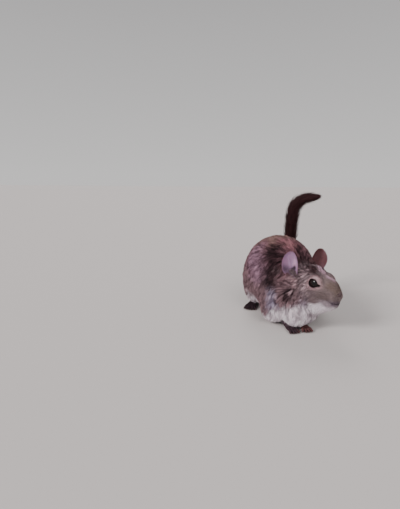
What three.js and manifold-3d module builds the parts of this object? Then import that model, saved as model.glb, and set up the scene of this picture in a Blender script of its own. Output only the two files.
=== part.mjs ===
// A crouching degu, life size, in millimetres. +Z is up, its body faces -Y, and +X is its own left side.
// Its head is turned to its left and its tail stands up behind it. The floor is the plane z = 0.
import * as THREE from 'three';
import { mergeVertices } from 'three/addons/utils/BufferGeometryUtils.js';
import Module from 'manifold-3d';

const wasm = await Module();
wasm.setup();

// Driving dimensions
const GAP = 0.3; // between two touching nodes
const EYE_RADIUS = 4.9;
const EYE_AT = [1.8, 8, -0.1]; // an eyeball's centre: ahead, aside and up in the head's axes
const LID_WIDTH = 4.3; // half the opening between the lids, along the head
const LID_HEIGHT = 3.6;
const LID_RADIUS = 0.65;
const MOUTH_DEPTH = 0.6;
const EAR_HEIGHT = 25;
const EAR_WIDTH = 15;
const EAR_THICKNESS = 1.2;
const HIND_FOOT_LENGTH = 35;
const FOREFOOT_LENGTH = 15;
const WRIST_HEIGHT = 5.6;
const LEG_ROOT = 10; // how deep a foreleg's root is set into the breast
const TAIL_STEM_RADIUS = 3.7; // at the root
const TAIL_TIP_RADIUS = 1.6;
const BRUSH_REACH = 6.4; // from the middle of the tail to the hair tips
const LOCK_WIDTH = 3.1; // half a lock's width at its root
const LOCK_THICKNESS = 0.9; // half of its thickness there

// Where the head is: the point between the eyes, and how far it turns from the body's line
const HEAD_AT = new THREE.Vector3(29.6, -45.3, 45);
const HEAD_TURN = THREE.MathUtils.degToRad(42.6);

// The coat's outer surface as rounded masses that melt into one another. 'at' is a centre and 'size' three
// half sizes; 'blend' is the width over which a mass melts into those before it.
// Trunk masses lie in the part's axes: across to its left, back, and up.
const TRUNK = [
  { at: [-8, 2, 40], size: [35, 43, 37], blend: 0 }, // barrel
  { at: [-3, 26, 34], size: [30, 27, 30], blend: 14 }, // rump
  { at: [3, -32, 26], size: [22, 26, 21], blend: 12 }, // chest
  { at: [1, -14, 46], size: [20, 22, 22], blend: 12 }, // nape
  { at: [15, 15, 27], size: [14, 25, 25], blend: 8 }, // left haunch
  { at: [-31, 15, 27], size: [14, 25, 25], blend: 8 }, // right haunch
  { at: [16, -30, 25], size: [11, 16, 19], blend: 8 }, // left shoulder
  { at: [-15, -28, 26], size: [10, 16, 19], blend: 8 }, // right shoulder
  { at: [10, -47, 14], size: [13, 13, 12.5], blend: 8 }, // bib of long fur on the breast
  { at: [-11, -40, 12.5], size: [10, 10, 10], blend: 10 }, // long fur over the right elbow
  { at: [20, -35, 12.5], size: [9, 10, 10], blend: 10 }, // long fur over the left elbow
];
// Head masses lie in the head's axes: forward, to its left, and up, from the point between the eyes.
const HEAD = [
  { at: [-13, 0, -3], size: [18, 13.5, 13], blend: 5 }, // skull
  { at: [-9, 8, -10.5], size: [12.5, 8.5, 10], blend: 5 }, // left cheek
  { at: [-9, -8, -10.5], size: [12.5, 8.5, 10], blend: 5 }, // right cheek
  { at: [-7, 0, 3], size: [11, 9.5, 10], blend: 4 }, // forehead
  { at: [4, 0, -5.5], size: [14, 9.6, 11], blend: 5 }, // root of the muzzle
  { at: [12.5, 0, -7.5], size: [10, 6.2, 8.4], blend: 4 }, // muzzle
  { at: [8, 0, -1.5], size: [9, 5, 5], blend: 4 }, // bridge of the nose
  { at: [15.5, 3.6, -9.5], size: [5.6, 3.6, 4.2], blend: 2.5 }, // left whisker pad
  { at: [15.5, -3.6, -9.5], size: [5.6, 3.6, 4.2], blend: 2.5 }, // right whisker pad
  { at: [16, 0, -12.6], size: [5.2, 4.2, 4.2], blend: 3 }, // upper lip
  { at: [11.6, 0, -16.8], size: [9, 4.8, 4.6], blend: 3 }, // lower jaw
  { at: [-3, 0, -19], size: [18, 10.5, 10], blend: 6 }, // throat
  { at: [1.5, 7, 0.6], size: [7.6, 4.3, 6.2], blend: 3 }, // left eye's mound
  { at: [1.5, -7, 0.6], size: [7.6, 4.3, 6.2], blend: 3 }, // right eye's mound
  { at: [20.6, 0, -7], size: [2.4, 3, 2.6], blend: 1.5 }, // nose pad
];

const NECK_BLEND = 12; // width over which the head melts into the trunk

const UP = new THREE.Vector3(0, 0, 1);
const HEAD_FORWARD = new THREE.Vector3(Math.sin(HEAD_TURN), -Math.cos(HEAD_TURN), 0);
const HEAD_LEFT = new THREE.Vector3(Math.cos(HEAD_TURN), Math.sin(HEAD_TURN), 0);
const HEAD_FRAME = new THREE.Matrix4()
  .makeBasis(HEAD_FORWARD, HEAD_LEFT, UP)
  .setPosition(HEAD_AT);
const INTO_HEAD = HEAD_FRAME.clone().invert();

function inHead(forward, left, up) {
  return new THREE.Vector3(forward, left, up).applyMatrix4(HEAD_FRAME);
}

// Roughly how far a point is outside an ellipsoid; negative inside.
function ellipsoidDistance(point, mass) {
  const [x, y, z] = [point.x - mass.at[0], point.y - mass.at[1], point.z - mass.at[2]];
  const [a, b, c] = mass.size;
  const near = Math.hypot(x / a, y / b, z / c);
  const slope = Math.hypot(x / (a * a), y / (b * b), z / (c * c));
  return slope > 0 ? (near * (near - 1)) / slope : -Math.min(a, b, c);
}

function smoothMin(a, b, blend) {
  const share = blend > 0 ? Math.max(blend - Math.abs(a - b), 0) / blend : 0;
  return Math.min(a, b) - (share * share * blend) / 4;
}

function massDistance(masses, point) {
  return masses.reduce((sum, mass) => smoothMin(sum, ellipsoidDistance(point, mass), mass.blend), 1000);
}

function coatDistance(point) {
  const local = point.clone().applyMatrix4(INTO_HEAD);
  return smoothMin(massDistance(TRUNK, point), massDistance(HEAD, local), NECK_BLEND);
}

// Walks from a point inside the coat until it is 'level' outside it.
function castToCoat(origin, direction, level) {
  let inside = 0;
  let outside = 0;
  const point = new THREE.Vector3();
  const clear = (reach) => coatDistance(point.copy(direction).multiplyScalar(reach).add(origin)) - level;
  while (clear(outside) < 0 && outside < 150) {
    inside = outside;
    outside += Math.max(0.4, -0.7 * clear(outside));
  }
  for (let i = 0; i < 18; i++) {
    const middle = (inside + outside) / 2;
    if (clear(middle) < 0) inside = middle;
    else outside = middle;
  }
  return point.copy(direction).multiplyScalar(outside).add(origin).clone();
}

// The coat's surface seen from a line inside it: a sphere whose poles lie along the line from tail to nose.
function coatShell(from, to, segments, rings, level = 0) {
  const geometry = new THREE.SphereGeometry(1, segments, rings);
  const half = to.clone().sub(from).multiplyScalar(0.5);
  const middle = from.clone().add(half);
  const turn = new THREE.Quaternion().setFromUnitVectors(new THREE.Vector3(0, 1, 0), half.clone().normalize());
  const position = geometry.attributes.position;
  for (let i = 0; i < position.count; i++) {
    const direction = new THREE.Vector3().fromBufferAttribute(position, i);
    const origin = middle.clone().addScaledVector(half, direction.y);
    const hit = castToCoat(origin, direction.applyQuaternion(turn).normalize(), level);
    position.setXYZ(i, hit.x, hit.y, hit.z);
  }
  return solidOf(geometry);
}

// A closed geometry as a solid that can be joined and cut.
function solidOf(geometry) {
  const bare = geometry.clone();
  bare.deleteAttribute('normal');
  bare.deleteAttribute('uv');
  const merged = mergeVertices(bare, 1e-4);
  const corners = merged.index.array;
  const kept = [];
  for (let i = 0; i < corners.length; i += 3) {
    const [a, b, c] = [corners[i], corners[i + 1], corners[i + 2]];
    if (a !== b && b !== c && a !== c) kept.push(a, b, c);
  }
  return new wasm.Manifold(new wasm.Mesh({
    numProp: 3,
    vertProperties: new Float32Array(merged.attributes.position.array),
    triVerts: new Uint32Array(kept),
  }));
}

function largestOf(solid) {
  return solid.decompose().reduce((best, piece) => (piece.volume() > best.volume() ? piece : best));
}

function geometryOf(solid) {
  const mesh = largestOf(solid).getMesh();
  const geometry = new THREE.BufferGeometry();
  geometry.setAttribute('position', new THREE.BufferAttribute(new Float32Array(mesh.vertProperties), 3));
  geometry.setIndex(new THREE.BufferAttribute(new Uint32Array(mesh.triVerts), 1));
  geometry.computeVertexNormals();
  return geometry;
}

function joined(solids) {
  return solids.reduce((whole, piece) => whole.add(piece));
}

function ellipsoid(at, size, segments = 16, rings = 10) {
  const geometry = new THREE.SphereGeometry(1, segments, rings);
  geometry.scale(...size);
  geometry.translate(at.x, at.y, at.z);
  return solidOf(geometry);
}

// A round limb along a smooth line through 'points', with a radius at each.
function limb(points, radii, sides = 12, steps = 12) {
  const curve = new THREE.CatmullRomCurve3(points);
  const frames = curve.computeFrenetFrames(steps);
  const geometry = new THREE.CylinderGeometry(1, 1, 1, sides, steps);
  const position = geometry.attributes.position;
  for (let i = 0; i < position.count; i++) {
    const step = Math.round((position.getY(i) + 0.5) * steps);
    const place = (step / steps) * (radii.length - 1);
    const lower = Math.min(Math.floor(place), radii.length - 2);
    const radius = THREE.MathUtils.lerp(radii[lower], radii[lower + 1], place - lower);
    const vertex = curve.getPoint(step / steps)
      .addScaledVector(frames.normals[step], -position.getX(i) * radius)
      .addScaledVector(frames.binormals[step], position.getZ(i) * radius);
    position.setXYZ(i, vertex.x, vertex.y, vertex.z);
  }
  return solidOf(geometry);
}

// A box given in the head's axes, for cutting.
function headBox(low, high, grow = 0) {
  const size = high.map((value, axis) => value - low[axis] + 2 * grow);
  const geometry = new THREE.BoxGeometry(...size);
  geometry.translate(...high.map((value, axis) => (value + low[axis]) / 2));
  geometry.applyMatrix4(HEAD_FRAME);
  return solidOf(geometry);
}

const BELOW_FLOOR = solidOf(new THREE.BoxGeometry(400, 400, 40).translate(0, 0, -20));

// Repeatable numbers from 0 to 1, for the small differences between locks
let seed = 7;
function random() {
  seed = (seed * 16807) % 2147483647;
  return seed / 2147483647;
}

const group = new THREE.Group();

function addNode(name, solid, material) {
  const mesh = new THREE.Mesh(geometryOf(solid), material);
  mesh.name = name;
  group.add(mesh);
}

// Materials
const backFur = new THREE.MeshStandardMaterial({ color: 0x6b5850, roughness: 0.9, metalness: 0 });
const faceFur = new THREE.MeshStandardMaterial({ color: 0x75635c, roughness: 0.9, metalness: 0 });
const legFur = new THREE.MeshStandardMaterial({ color: 0x5a4a47, roughness: 0.9, metalness: 0 });
const footSkin = new THREE.MeshStandardMaterial({ color: 0x6a5a5c, roughness: 0.7, metalness: 0 });
const earSkin = new THREE.MeshStandardMaterial({ color: 0x9a8388, roughness: 0.6, metalness: 0 });
const eyeSurface = new THREE.MeshStandardMaterial({ color: 0x120b0b, roughness: 0.08, metalness: 0 });
const brushHair = new THREE.MeshStandardMaterial({ color: 0x1d1516, roughness: 0.85, metalness: 0 });

// Head, neck and trunk are one coat surface, parted by cuts along the head's axes
const HEAD_LINE = [inHead(-20, 0, -4), inHead(15, 0, -8)];
const NECK_LINE = [inHead(-24, 0, -10), inHead(-6, 0, -16)];
const TRUNK_LINE = [new THREE.Vector3(-3, 22, 34), new THREE.Vector3(4, -34, 30)];
const HEAD_BOX = [[-26, -40, -21], [60, 40, 60]];
const NECK_BOX = [[-33, -40, -27], [60, 40, 60]];
const grownHead = coatShell(...HEAD_LINE, 40, 36, GAP);
const grownTrunk = coatShell(...TRUNK_LINE, 32, 24, GAP);
const sunkTrunk = coatShell(...TRUNK_LINE, 32, 24, -LEG_ROOT);
const headSolid = coatShell(...HEAD_LINE, 36, 34).intersect(headBox(...HEAD_BOX));
const neckSolid = coatShell(...NECK_LINE, 32, 20)
  .intersect(headBox(...NECK_BOX))
  .subtract(headBox(...HEAD_BOX, GAP));
const trunkSolid = coatShell(...TRUNK_LINE, 32, 24).subtract(headBox(...NECK_BOX, GAP));

// Eyes: balls in open sockets
function eyeball(side, grow = 0) {
  const radius = EYE_RADIUS + grow;
  return ellipsoid(inHead(EYE_AT[0], side * EYE_AT[1], EYE_AT[2]), [radius, radius, radius], 16, 10);
}

// Lids: a rim round each eye with a point at its front corner, lying on the ball
function lidRim(side) {
  const tube = 0.3;
  const geometry = new THREE.TorusGeometry(1, tube, 5, 22);
  const position = geometry.attributes.position;
  for (let i = 0; i < position.count; i++) {
    const around = Math.atan2(position.getY(i), position.getX(i));
    const outward = ((Math.hypot(position.getX(i), position.getY(i)) - 1) / tube) * LID_RADIUS;
    const corner = Math.exp(-((around + 0.35) ** 2) / 0.06);
    const ahead = Math.cos(around) * (LID_WIDTH + outward) + 1.9 * corner;
    const above = Math.sin(around) * (LID_HEIGHT + outward) - 0.4 * corner;
    const onBall = Math.sqrt(Math.max((EYE_RADIUS + 0.4) ** 2 - ahead * ahead - above * above, 4));
    const aside = EYE_AT[1] + onBall + (position.getZ(i) / tube) * LID_RADIUS;
    const vertex = inHead(EYE_AT[0] + ahead, side * aside, EYE_AT[2] + above);
    position.setXYZ(i, vertex.x, vertex.y, vertex.z);
  }
  if (side > 0) geometry.index.array.reverse();
  return solidOf(geometry);
}

// The mouth's line, cut along the coat from one corner round the front to the other
function mouthCut() {
  const points = [];
  const turns = 8;
  for (let i = 0; i <= turns; i++) {
    const share = (2 * i) / turns - 1;
    const angle = share * 1.45;
    const inside = inHead(13, 0, -15.8 + 2.4 * share * share);
    const direction = HEAD_FORWARD.clone().multiplyScalar(Math.cos(angle))
      .addScaledVector(HEAD_LEFT, Math.sin(angle));
    points.push(castToCoat(inside, direction, 0));
  }
  return limb(points, [MOUTH_DEPTH, MOUTH_DEPTH], 5, 12);
}

function nostrilCut(side) {
  const rim = castToCoat(inHead(18, 0, -6.8), inHead(1, side * 0.6, 0.15).sub(HEAD_AT).normalize(), 0);
  const away = HEAD_LEFT.clone().multiplyScalar(side);
  const ends = [rim.clone().addScaledVector(away, 0.5), rim.clone().addScaledVector(away, -0.5)];
  ends[0].z += 0.5;
  ends[1].z -= 0.5;
  return limb(ends, [0.55, 0.55], 6, 2);
}

let face = headSolid;
for (const side of [1, -1]) {
  face = face.add(lidRim(side)).subtract(eyeball(side, GAP)).subtract(nostrilCut(side));
}
face = face.subtract(mouthCut());

// Ears: thin cupped ovals, full at the root. In the head's axes, with 'aside' away from its middle: where an
// ear grows, which way it rises and which way its cup faces. The left ear is turned further forward.
const EARS = {
  [-1]: { root: [-20.8, 14.8, 3.2], rise: [4, 3.8, 20], facing: [0.45, 0.9, 0.1] },
  1: { root: [-20, 8.5, 3], rise: [-3, 12, 15], facing: [1, -0.25, 0.4] },
};

function earSolid(side) {
  const geometry = new THREE.SphereGeometry(1, 20, 10);
  const position = geometry.attributes.position;
  for (let i = 0; i < position.count; i++) {
    const across = position.getX(i);
    const thickness = position.getY(i);
    const up = position.getZ(i);
    const fullness = 1 + 0.3 * THREE.MathUtils.smoothstep(-up, 0.2, 1);
    const cup = 5.5 * (across * across + 0.35 * up * up);
    position.setXYZ(
      i,
      (across * fullness * EAR_WIDTH) / 2,
      Math.sign(thickness) * Math.abs(thickness) ** 0.4 * (EAR_THICKNESS / 2) + cup,
      (up * EAR_HEIGHT) / 2,
    );
  }
  const mirrored = ([ahead, aside, up]) => new THREE.Vector3(ahead, side * aside, up);
  const rise = mirrored(EARS[side].rise).normalize();
  const facing = mirrored(EARS[side].facing);
  facing.addScaledVector(rise, -facing.dot(rise)).normalize();
  const width = facing.clone().cross(rise);
  const centre = mirrored(EARS[side].root).addScaledVector(rise, EAR_HEIGHT * 0.46);
  geometry.applyMatrix4(new THREE.Matrix4().makeBasis(width, facing, rise).setPosition(centre));
  geometry.applyMatrix4(HEAD_FRAME);
  return solidOf(geometry);
}

// Hind legs: each haunch is parted from the trunk by a curved cut
function haunchCutter(side, grow) {
  const centre = new THREE.Vector3(-7 + side * 34, 14, 22);
  return ellipsoid(centre, [22 + grow, 27 + grow, 27 + grow], 24, 16);
}

let torsoSolid = trunkSolid;
const haunches = {};
for (const side of [1, -1]) {
  haunches[side] = torsoSolid.intersect(haunchCutter(side, 0));
  torsoSolid = torsoSolid.subtract(haunchCutter(side, GAP));
}

// Feet: a sole, toes in a fan and a claw on each
function footSolid(foot) {
  const forward = new THREE.Vector3(Math.sin(foot.heading), -Math.cos(foot.heading), 0);
  const left = new THREE.Vector3(Math.cos(foot.heading), Math.sin(foot.heading), 0);
  const place = (ahead, beside, up) => foot.at.clone()
    .addScaledVector(forward, ahead * foot.length)
    .addScaledVector(left, beside * foot.width)
    .setZ(up);
  const soleEnd = 1 - foot.toeShare;
  const sole = [place(0, 0, 3), place(0.4 * soleEnd, 0, 2.2), place(soleEnd, 0, 2)];
  const pieces = [limb(sole, [foot.heelRadius, foot.heelRadius * 0.9, foot.width * 0.4], 8, 4)];
  for (let toe = 0; toe < foot.toes; toe++) {
    const fan = toe / (foot.toes - 1) - 0.5;
    const reach = 1 - 0.6 * fan * fan;
    const root = place(soleEnd - 0.12, fan * 0.6, 2);
    const knuckle = place(soleEnd + foot.toeShare * 0.4 * reach, fan * 0.95, 2.3);
    const tip = place(soleEnd + foot.toeShare * 0.85 * reach, fan * 1.15, 1);
    const clawTip = place(soleEnd + foot.toeShare * reach, fan * 1.25, 0.35);
    pieces.push(limb([root, knuckle, tip], [1.4, 1.4, 1.1], 5, 2));
    pieces.push(limb([knuckle, tip, clawTip], [0.9, 0.7, 0.25], 4, 2));
  }
  return joined(pieces).subtract(BELOW_FLOOR);
}

function hindFoot(side) {
  return footSolid({
    at: new THREE.Vector3(-7 + side * 25, 26, 0),
    heading: side * 0.12,
    length: HIND_FOOT_LENGTH,
    width: 9,
    heelRadius: 2.9,
    toes: 5,
    toeShare: 0.35,
  });
}

// Forelegs and forefeet, parted at the wrist
const FORELEGS = {
  [-1]: { elbow: new THREE.Vector3(-6, -36, 20), wrist: new THREE.Vector3(2.8, -49.3, 0), heading: 0.5 },
  1: { elbow: new THREE.Vector3(20, -32, 20), wrist: new THREE.Vector3(16, -43, 0), heading: 0.3 },
};

function aboveWrist(grow) {
  return solidOf(new THREE.BoxGeometry(400, 400, 100).translate(0, 0, 50 + WRIST_HEIGHT - grow));
}

function forearm(side, grow = 0) {
  const { elbow, wrist } = FORELEGS[side];
  const middle = elbow.clone().lerp(wrist, 0.62).setZ(9);
  return limb([elbow, middle, wrist.clone().setZ(3)], [6 + grow, 4.4 + grow, 3 + grow]);
}

function forelegSolid(side) {
  return forearm(side).add(footSolid({
    at: FORELEGS[side].wrist,
    heading: FORELEGS[side].heading,
    length: FOREFOOT_LENGTH,
    width: 7,
    heelRadius: 2.8,
    toes: 4,
    toeShare: 0.5,
  }));
}

// Tail: a stem that carries flat, tapered locks, from a third of the way up to its tip
const TAIL_POINTS = [[-3, 36, 34], [-1, 50, 42], [1, 56, 56], [2.4, 57, 72], [3, 57, 88], [6, 57, 102], [14, 57, 109.5],
  [29, 57, 112.5]].map((point) => new THREE.Vector3(...point));
const tailCurve = new THREE.CatmullRomCurve3(TAIL_POINTS);
const TAIL_LENGTH = tailCurve.getLength();
const TAIL_CUTS = [0.29, 0.53]; // where base, middle and brush part, as shares of the length
const CUT_LENGTH = 18; // how far such a cut opens like a funnel
const CUT_FLARE = 5.2; // how much wider it is there
const STEM_END = 0.9;

function stemRadius(share) {
  return THREE.MathUtils.lerp(TAIL_STEM_RADIUS, TAIL_TIP_RADIUS, share / STEM_END);
}

function tailStem(steps) {
  const shares = Array.from({ length: steps + 1 }, (_, i) => (STEM_END * i) / steps);
  return limb(shares.map((share) => tailCurve.getPointAt(share)), shares.map(stemRadius), 8, steps);
}

// A place beside the tail: 'share' along it and 'reach' away from its middle, in the direction 'around'.
function besideTail(share, around, reach) {
  const inside = Math.min(share, 1);
  const along = tailCurve.getTangentAt(inside);
  const back = new THREE.Vector3(0, 1, 0).addScaledVector(along, -along.y).normalize();
  const out = back.clone().multiplyScalar(Math.cos(around))
    .addScaledVector(along.clone().cross(back), Math.sin(around));
  const middle = tailCurve.getPointAt(inside).addScaledVector(along, (share - inside) * TAIL_LENGTH);
  return { centre: middle.addScaledVector(out, reach), out, wide: along.clone().cross(out) };
}

// One flat lock: its root inside the stem, its body following the tail and rising to the brush's outer surface
function lock(share, around, length, reach) {
  const geometry = new THREE.CylinderGeometry(1, 1, 1, 4, 3);
  const position = geometry.attributes.position;
  for (let i = 0; i < position.count; i++) {
    const step = position.getY(i) + 0.5;
    const rise = THREE.MathUtils.lerp(stemRadius(share) * 0.4, reach, Math.sin(step * 1.45));
    const place = besideTail(share + (step * length) / TAIL_LENGTH, around, rise);
    const taper = 1 - 0.88 * step ** 1.8;
    place.centre.addScaledVector(place.wide, position.getX(i) * LOCK_WIDTH * taper);
    place.centre.addScaledVector(place.out, position.getZ(i) * LOCK_THICKNESS * taper);
    position.setXYZ(i, place.centre.x, place.centre.y, place.centre.z);
  }
  return solidOf(geometry);
}

// Rings of locks from one share of the tail to another; each ring is turned half a lock from the last.
function tailLocks(from, to, rings, perRing, lengths, reaches) {
  const locks = [];
  for (let ring = 0; ring < rings; ring++) {
    const grown = ring / (rings - 1);
    const share = THREE.MathUtils.lerp(from, to, grown);
    for (let i = 0; i < perRing; i++) {
      const around = ((i + 0.5 * (ring % 2) + 0.2 * random()) / perRing) * 2 * Math.PI;
      const length = THREE.MathUtils.lerp(...lengths, grown) * (0.9 + 0.2 * random());
      const reach = THREE.MathUtils.lerp(...reaches, grown) * (0.9 + 0.15 * random());
      locks.push(lock(share, around, length, reach));
    }
  }
  return locks;
}

// Everything on the tip's side of a cut across the tail at 'share'. The cut flares like a funnel, so that the
// locks that grow below it stay whole on their own side.
function tailBeyond(share, grow) {
  const mouth = stemRadius(share) + 0.3 + grow;
  const reach = CUT_LENGTH + grow;
  const funnel = new THREE.CylinderGeometry(mouth + CUT_FLARE, mouth, reach, 20).rotateX(Math.PI / 2);
  const rest = new THREE.BoxGeometry(200, 200, 200).translate(0, 0, 99 + CUT_LENGTH);
  const along = tailCurve.getTangentAt(share);
  const turn = new THREE.Quaternion().setFromUnitVectors(UP, along);
  const place = (geometry) => {
    geometry.applyQuaternion(turn);
    return solidOf(geometry.translate(...tailCurve.getPointAt(share).toArray()));
  };
  return place(funnel.translate(0, 0, reach / 2 - grow)).add(place(rest));
}

const tailSolid = joined([
  tailStem(16),
  ...tailLocks(0.31, 0.64, 4, 5, [17, 17], [BRUSH_REACH * 0.9, BRUSH_REACH]),
  ...tailLocks(0.725, 0.9, 3, 4, [16, 11], [BRUSH_REACH, BRUSH_REACH * 0.5]),
]);
const tailRest = tailSolid.intersect(tailBeyond(TAIL_CUTS[0], 0));

addNode('head', face, faceFur);
const forelegSockets = forearm(1, GAP).add(forearm(-1, GAP));
addNode('neck', neckSolid.subtract(forelegSockets), backFur);
addNode('torso', torsoSolid.subtract(forelegSockets), backFur);
for (const [side, label] of [[1, 'left'], [-1, 'right']]) {
  addNode(`eye_${label}`, eyeball(side), eyeSurface);
  addNode(`ear_${label}`, earSolid(side).subtract(grownHead), earSkin);
  addNode(`hind_leg_${label}`, haunches[side], legFur);
  addNode(`hind_foot_${label}`, hindFoot(side).subtract(grownTrunk), footSkin);
  const foreleg = forelegSolid(side);
  addNode(`foreleg_${label}`, foreleg.intersect(aboveWrist(0)).subtract(sunkTrunk), legFur);
  addNode(`forefoot_${label}`, foreleg.subtract(aboveWrist(GAP)).subtract(grownTrunk), footSkin);
}
addNode('tail_base', tailSolid.subtract(tailBeyond(TAIL_CUTS[0], GAP)).subtract(grownTrunk), backFur);
addNode('tail_middle', tailRest.subtract(tailBeyond(TAIL_CUTS[1], GAP)), brushHair);
addNode('tail_brush', tailRest.intersect(tailBeyond(TAIL_CUTS[1], 0)), brushHair);

// The part's origin is at floor level under the middle of its box
const bounds = new THREE.Box3().setFromObject(group);
const middle = bounds.getCenter(new THREE.Vector3());
group.position.set(-middle.x, -middle.y, -bounds.min.z);

export default group;
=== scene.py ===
# The looks of a crouching degu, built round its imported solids. Shapes are worked out in millimetres in the
# solids' own design axes (floor z = 0, body facing -Y, +X its own left) and each piece is moved into the row
# frame when it is made.
import math

import bpy
import numpy as np
from mathutils import Matrix, Vector


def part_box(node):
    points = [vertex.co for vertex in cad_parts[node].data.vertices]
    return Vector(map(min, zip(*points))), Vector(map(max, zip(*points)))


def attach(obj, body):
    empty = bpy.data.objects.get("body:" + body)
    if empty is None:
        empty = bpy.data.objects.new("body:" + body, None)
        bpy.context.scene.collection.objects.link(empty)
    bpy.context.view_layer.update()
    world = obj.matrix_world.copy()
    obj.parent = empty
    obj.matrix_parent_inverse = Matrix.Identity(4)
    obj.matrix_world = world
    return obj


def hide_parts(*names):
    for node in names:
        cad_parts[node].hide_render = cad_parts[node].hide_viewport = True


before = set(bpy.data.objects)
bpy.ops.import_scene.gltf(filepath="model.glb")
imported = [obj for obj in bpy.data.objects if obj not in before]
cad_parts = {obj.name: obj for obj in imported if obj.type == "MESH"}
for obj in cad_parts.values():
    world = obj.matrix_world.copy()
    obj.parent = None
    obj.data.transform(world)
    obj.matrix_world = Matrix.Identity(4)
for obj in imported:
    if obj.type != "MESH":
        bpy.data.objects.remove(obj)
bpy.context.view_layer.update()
rng = np.random.default_rng(5)

# Named sizes, the same as the solids'
HEAD_AT = np.array([29.6, -45.3, 45.0])
HEAD_TURN = math.radians(42.6)
EYE_RADIUS = 4.9
EYE_AT = np.array([1.8, 8.0, -0.1])
LID_WIDTH = 4.3
LID_HEIGHT = 3.6
EAR_HEIGHT = 25.0
EAR_WIDTH = 15.0
EAR_THICKNESS = 1.0
TAIL_STEM_RADIUS = 3.7
TAIL_TIP_RADIUS = 1.6
BRUSH_REACH = 6.4
NECK_BLEND = 12.0
# How deep the skin lies under the tips of the coat on the trunk, the back of the head and the face
COAT_DEPTHS = (2.8, 1.5, 0.7)

SIDES = ((1, "left"), (-1, "right"))
MM = 0.001
FAR = 1000.0  # more than any distance here, where a search for the nearest starts
SLOPE_STEP = 0.04  # a field's slope is taken over this distance
FORWARD = np.array([math.sin(HEAD_TURN), -math.cos(HEAD_TURN), 0.0])
LEFT = np.array([math.cos(HEAD_TURN), math.sin(HEAD_TURN), 0.0])
UP = np.array([0.0, 0.0, 1.0])

# Rounded masses that melt into one another: centre, half sizes, width of the melt
TRUNK = [
    ((-8, 2, 40), (35, 43, 37), 0),
    ((-3, 26, 34), (30, 27, 30), 14),
    ((3, -32, 26), (22, 26, 21), 12),
    ((1, -14, 46), (20, 22, 22), 12),
    ((15, 15, 27), (14, 25, 25), 8),
    ((-31, 15, 27), (14, 25, 25), 8),
    ((16, -30, 25), (11, 16, 19), 8),
    ((-15, -28, 26), (10, 16, 19), 8),
    ((10, -47, 14), (13, 13, 12.5), 8),
    ((-11, -40, 12.5), (10, 10, 10), 10),
    ((20, -35, 12.5), (9, 10, 10), 10),
]
HEAD = [
    ((-13, 0, -3), (18, 13.5, 13), 5),
    ((-9, 8, -10.5), (12.5, 8.5, 10), 5),
    ((-9, -8, -10.5), (12.5, 8.5, 10), 5),
    ((-7, 0, 3), (11, 9.5, 10), 4),
    ((4, 0, -5.5), (14, 9.6, 11), 5),
    ((12.5, 0, -7.5), (10, 6.2, 8.4), 4),
    ((8, 0, -1.5), (9, 5, 5), 4),
    ((15.5, 3.6, -9.5), (5.6, 3.6, 4.2), 2.5),
    ((15.5, -3.6, -9.5), (5.6, 3.6, 4.2), 2.5),
    ((16, 0, -12.6), (5.2, 4.2, 4.2), 3),
    ((11.6, 0, -16.8), (9, 4.8, 4.6), 3),
    ((-3, 0, -19), (18, 10.5, 10), 6),
    ((1.5, 7, 0.6), (7.6, 4.3, 6.2), 3),
    ((1.5, -7, 0.6), (7.6, 4.3, 6.2), 3),
    ((20.6, 0, -7), (2.4, 3, 2.6), 1.5),
]
FORELEGS = {
    -1: {"elbow": (-6, -36, 20), "wrist": (2.8, -49.3, 0), "heading": 0.5},
    1: {"elbow": (20, -32, 20), "wrist": (16, -43, 0), "heading": 0.3},
}
# Where an ear grows, which way it rises and which way its cup faces: ahead, aside from the head's middle, up
EARS = {
    -1: {"root": (-20.8, 14.8, 3.2), "rise": (4, 3.8, 20), "facing": (0.45, 0.9, 0.1)},
    1: {"root": (-20, 8.5, 3), "rise": (-3, 12, 15), "facing": (1, -0.25, 0.4)},
}
TAIL_POINTS = np.array([
    (-3, 36, 34), (-1, 50, 42), (1, 56, 56), (2.4, 57, 72),
    (3, 57, 88), (6, 57, 102), (14, 57, 109.5), (29, 57, 112.5),
], float)


def in_head(forward, left, up):
    return HEAD_AT + forward * FORWARD + left * LEFT + up * UP


def head_axes(points):
    offset = points - HEAD_AT
    return np.stack([offset @ FORWARD, offset @ LEFT, offset @ UP], -1)


def unit(v):
    return v / np.maximum(np.linalg.norm(v, axis=-1, keepdims=True), 1e-9)


def flat(vectors, normals):
    """Vectors laid flat on surfaces that have these normals."""
    return vectors - normals * (vectors * normals).sum(1, keepdims=True)


def turned(vectors, axes, angles):
    c, s = np.cos(angles)[:, None], np.sin(angles)[:, None]
    return vectors * c + np.cross(axes, vectors) * s + axes * (axes * vectors).sum(1, keepdims=True) * (1 - c)


def mix(a, b, t):
    return a + (b - a) * t


def ramp(x, low, high):
    """From 0 at low to 1 at high, smooth at both ends."""
    t = np.clip((x - low) / (high - low), 0, 1)
    return t * t * (3 - 2 * t)


def hump(x, middle, width):
    """1 at the middle, and nearly 0 two widths away."""
    return np.exp(-(((x - middle) / width) ** 2))


def smooth_min(a, b, blend):
    if blend <= 0:
        return np.minimum(a, b)
    share = np.maximum(blend - np.abs(a - b), 0) / blend
    return np.minimum(a, b) - share * share * blend / 4


def smooth_max(a, b, blend):
    return -smooth_min(-a, -b, blend)


def away(points, at, size=1):
    """Distance from a centre, where a rounded mass with these half sizes has its surface at 1."""
    return np.linalg.norm((points - at) / size, axis=1)


def mass_distance(masses, points):
    total = np.full(len(points), FAR)
    for at, size, blend in masses:
        near, slope = away(points, at, size), away(points, at, np.square(size))
        total = smooth_min(total, near * (near - 1) / np.maximum(slope, 1e-9), blend)
    return total


def coat(points):
    """How far points are outside the tips of the coat, and how much they belong to the head, 0 to 1."""
    trunk = mass_distance(TRUNK, points)
    head = mass_distance(HEAD, head_axes(points))
    return smooth_min(trunk, head, NECK_BLEND), ramp(trunk - head, -12, 8)


def coat_distance(points):
    return coat(points)[0]


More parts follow.
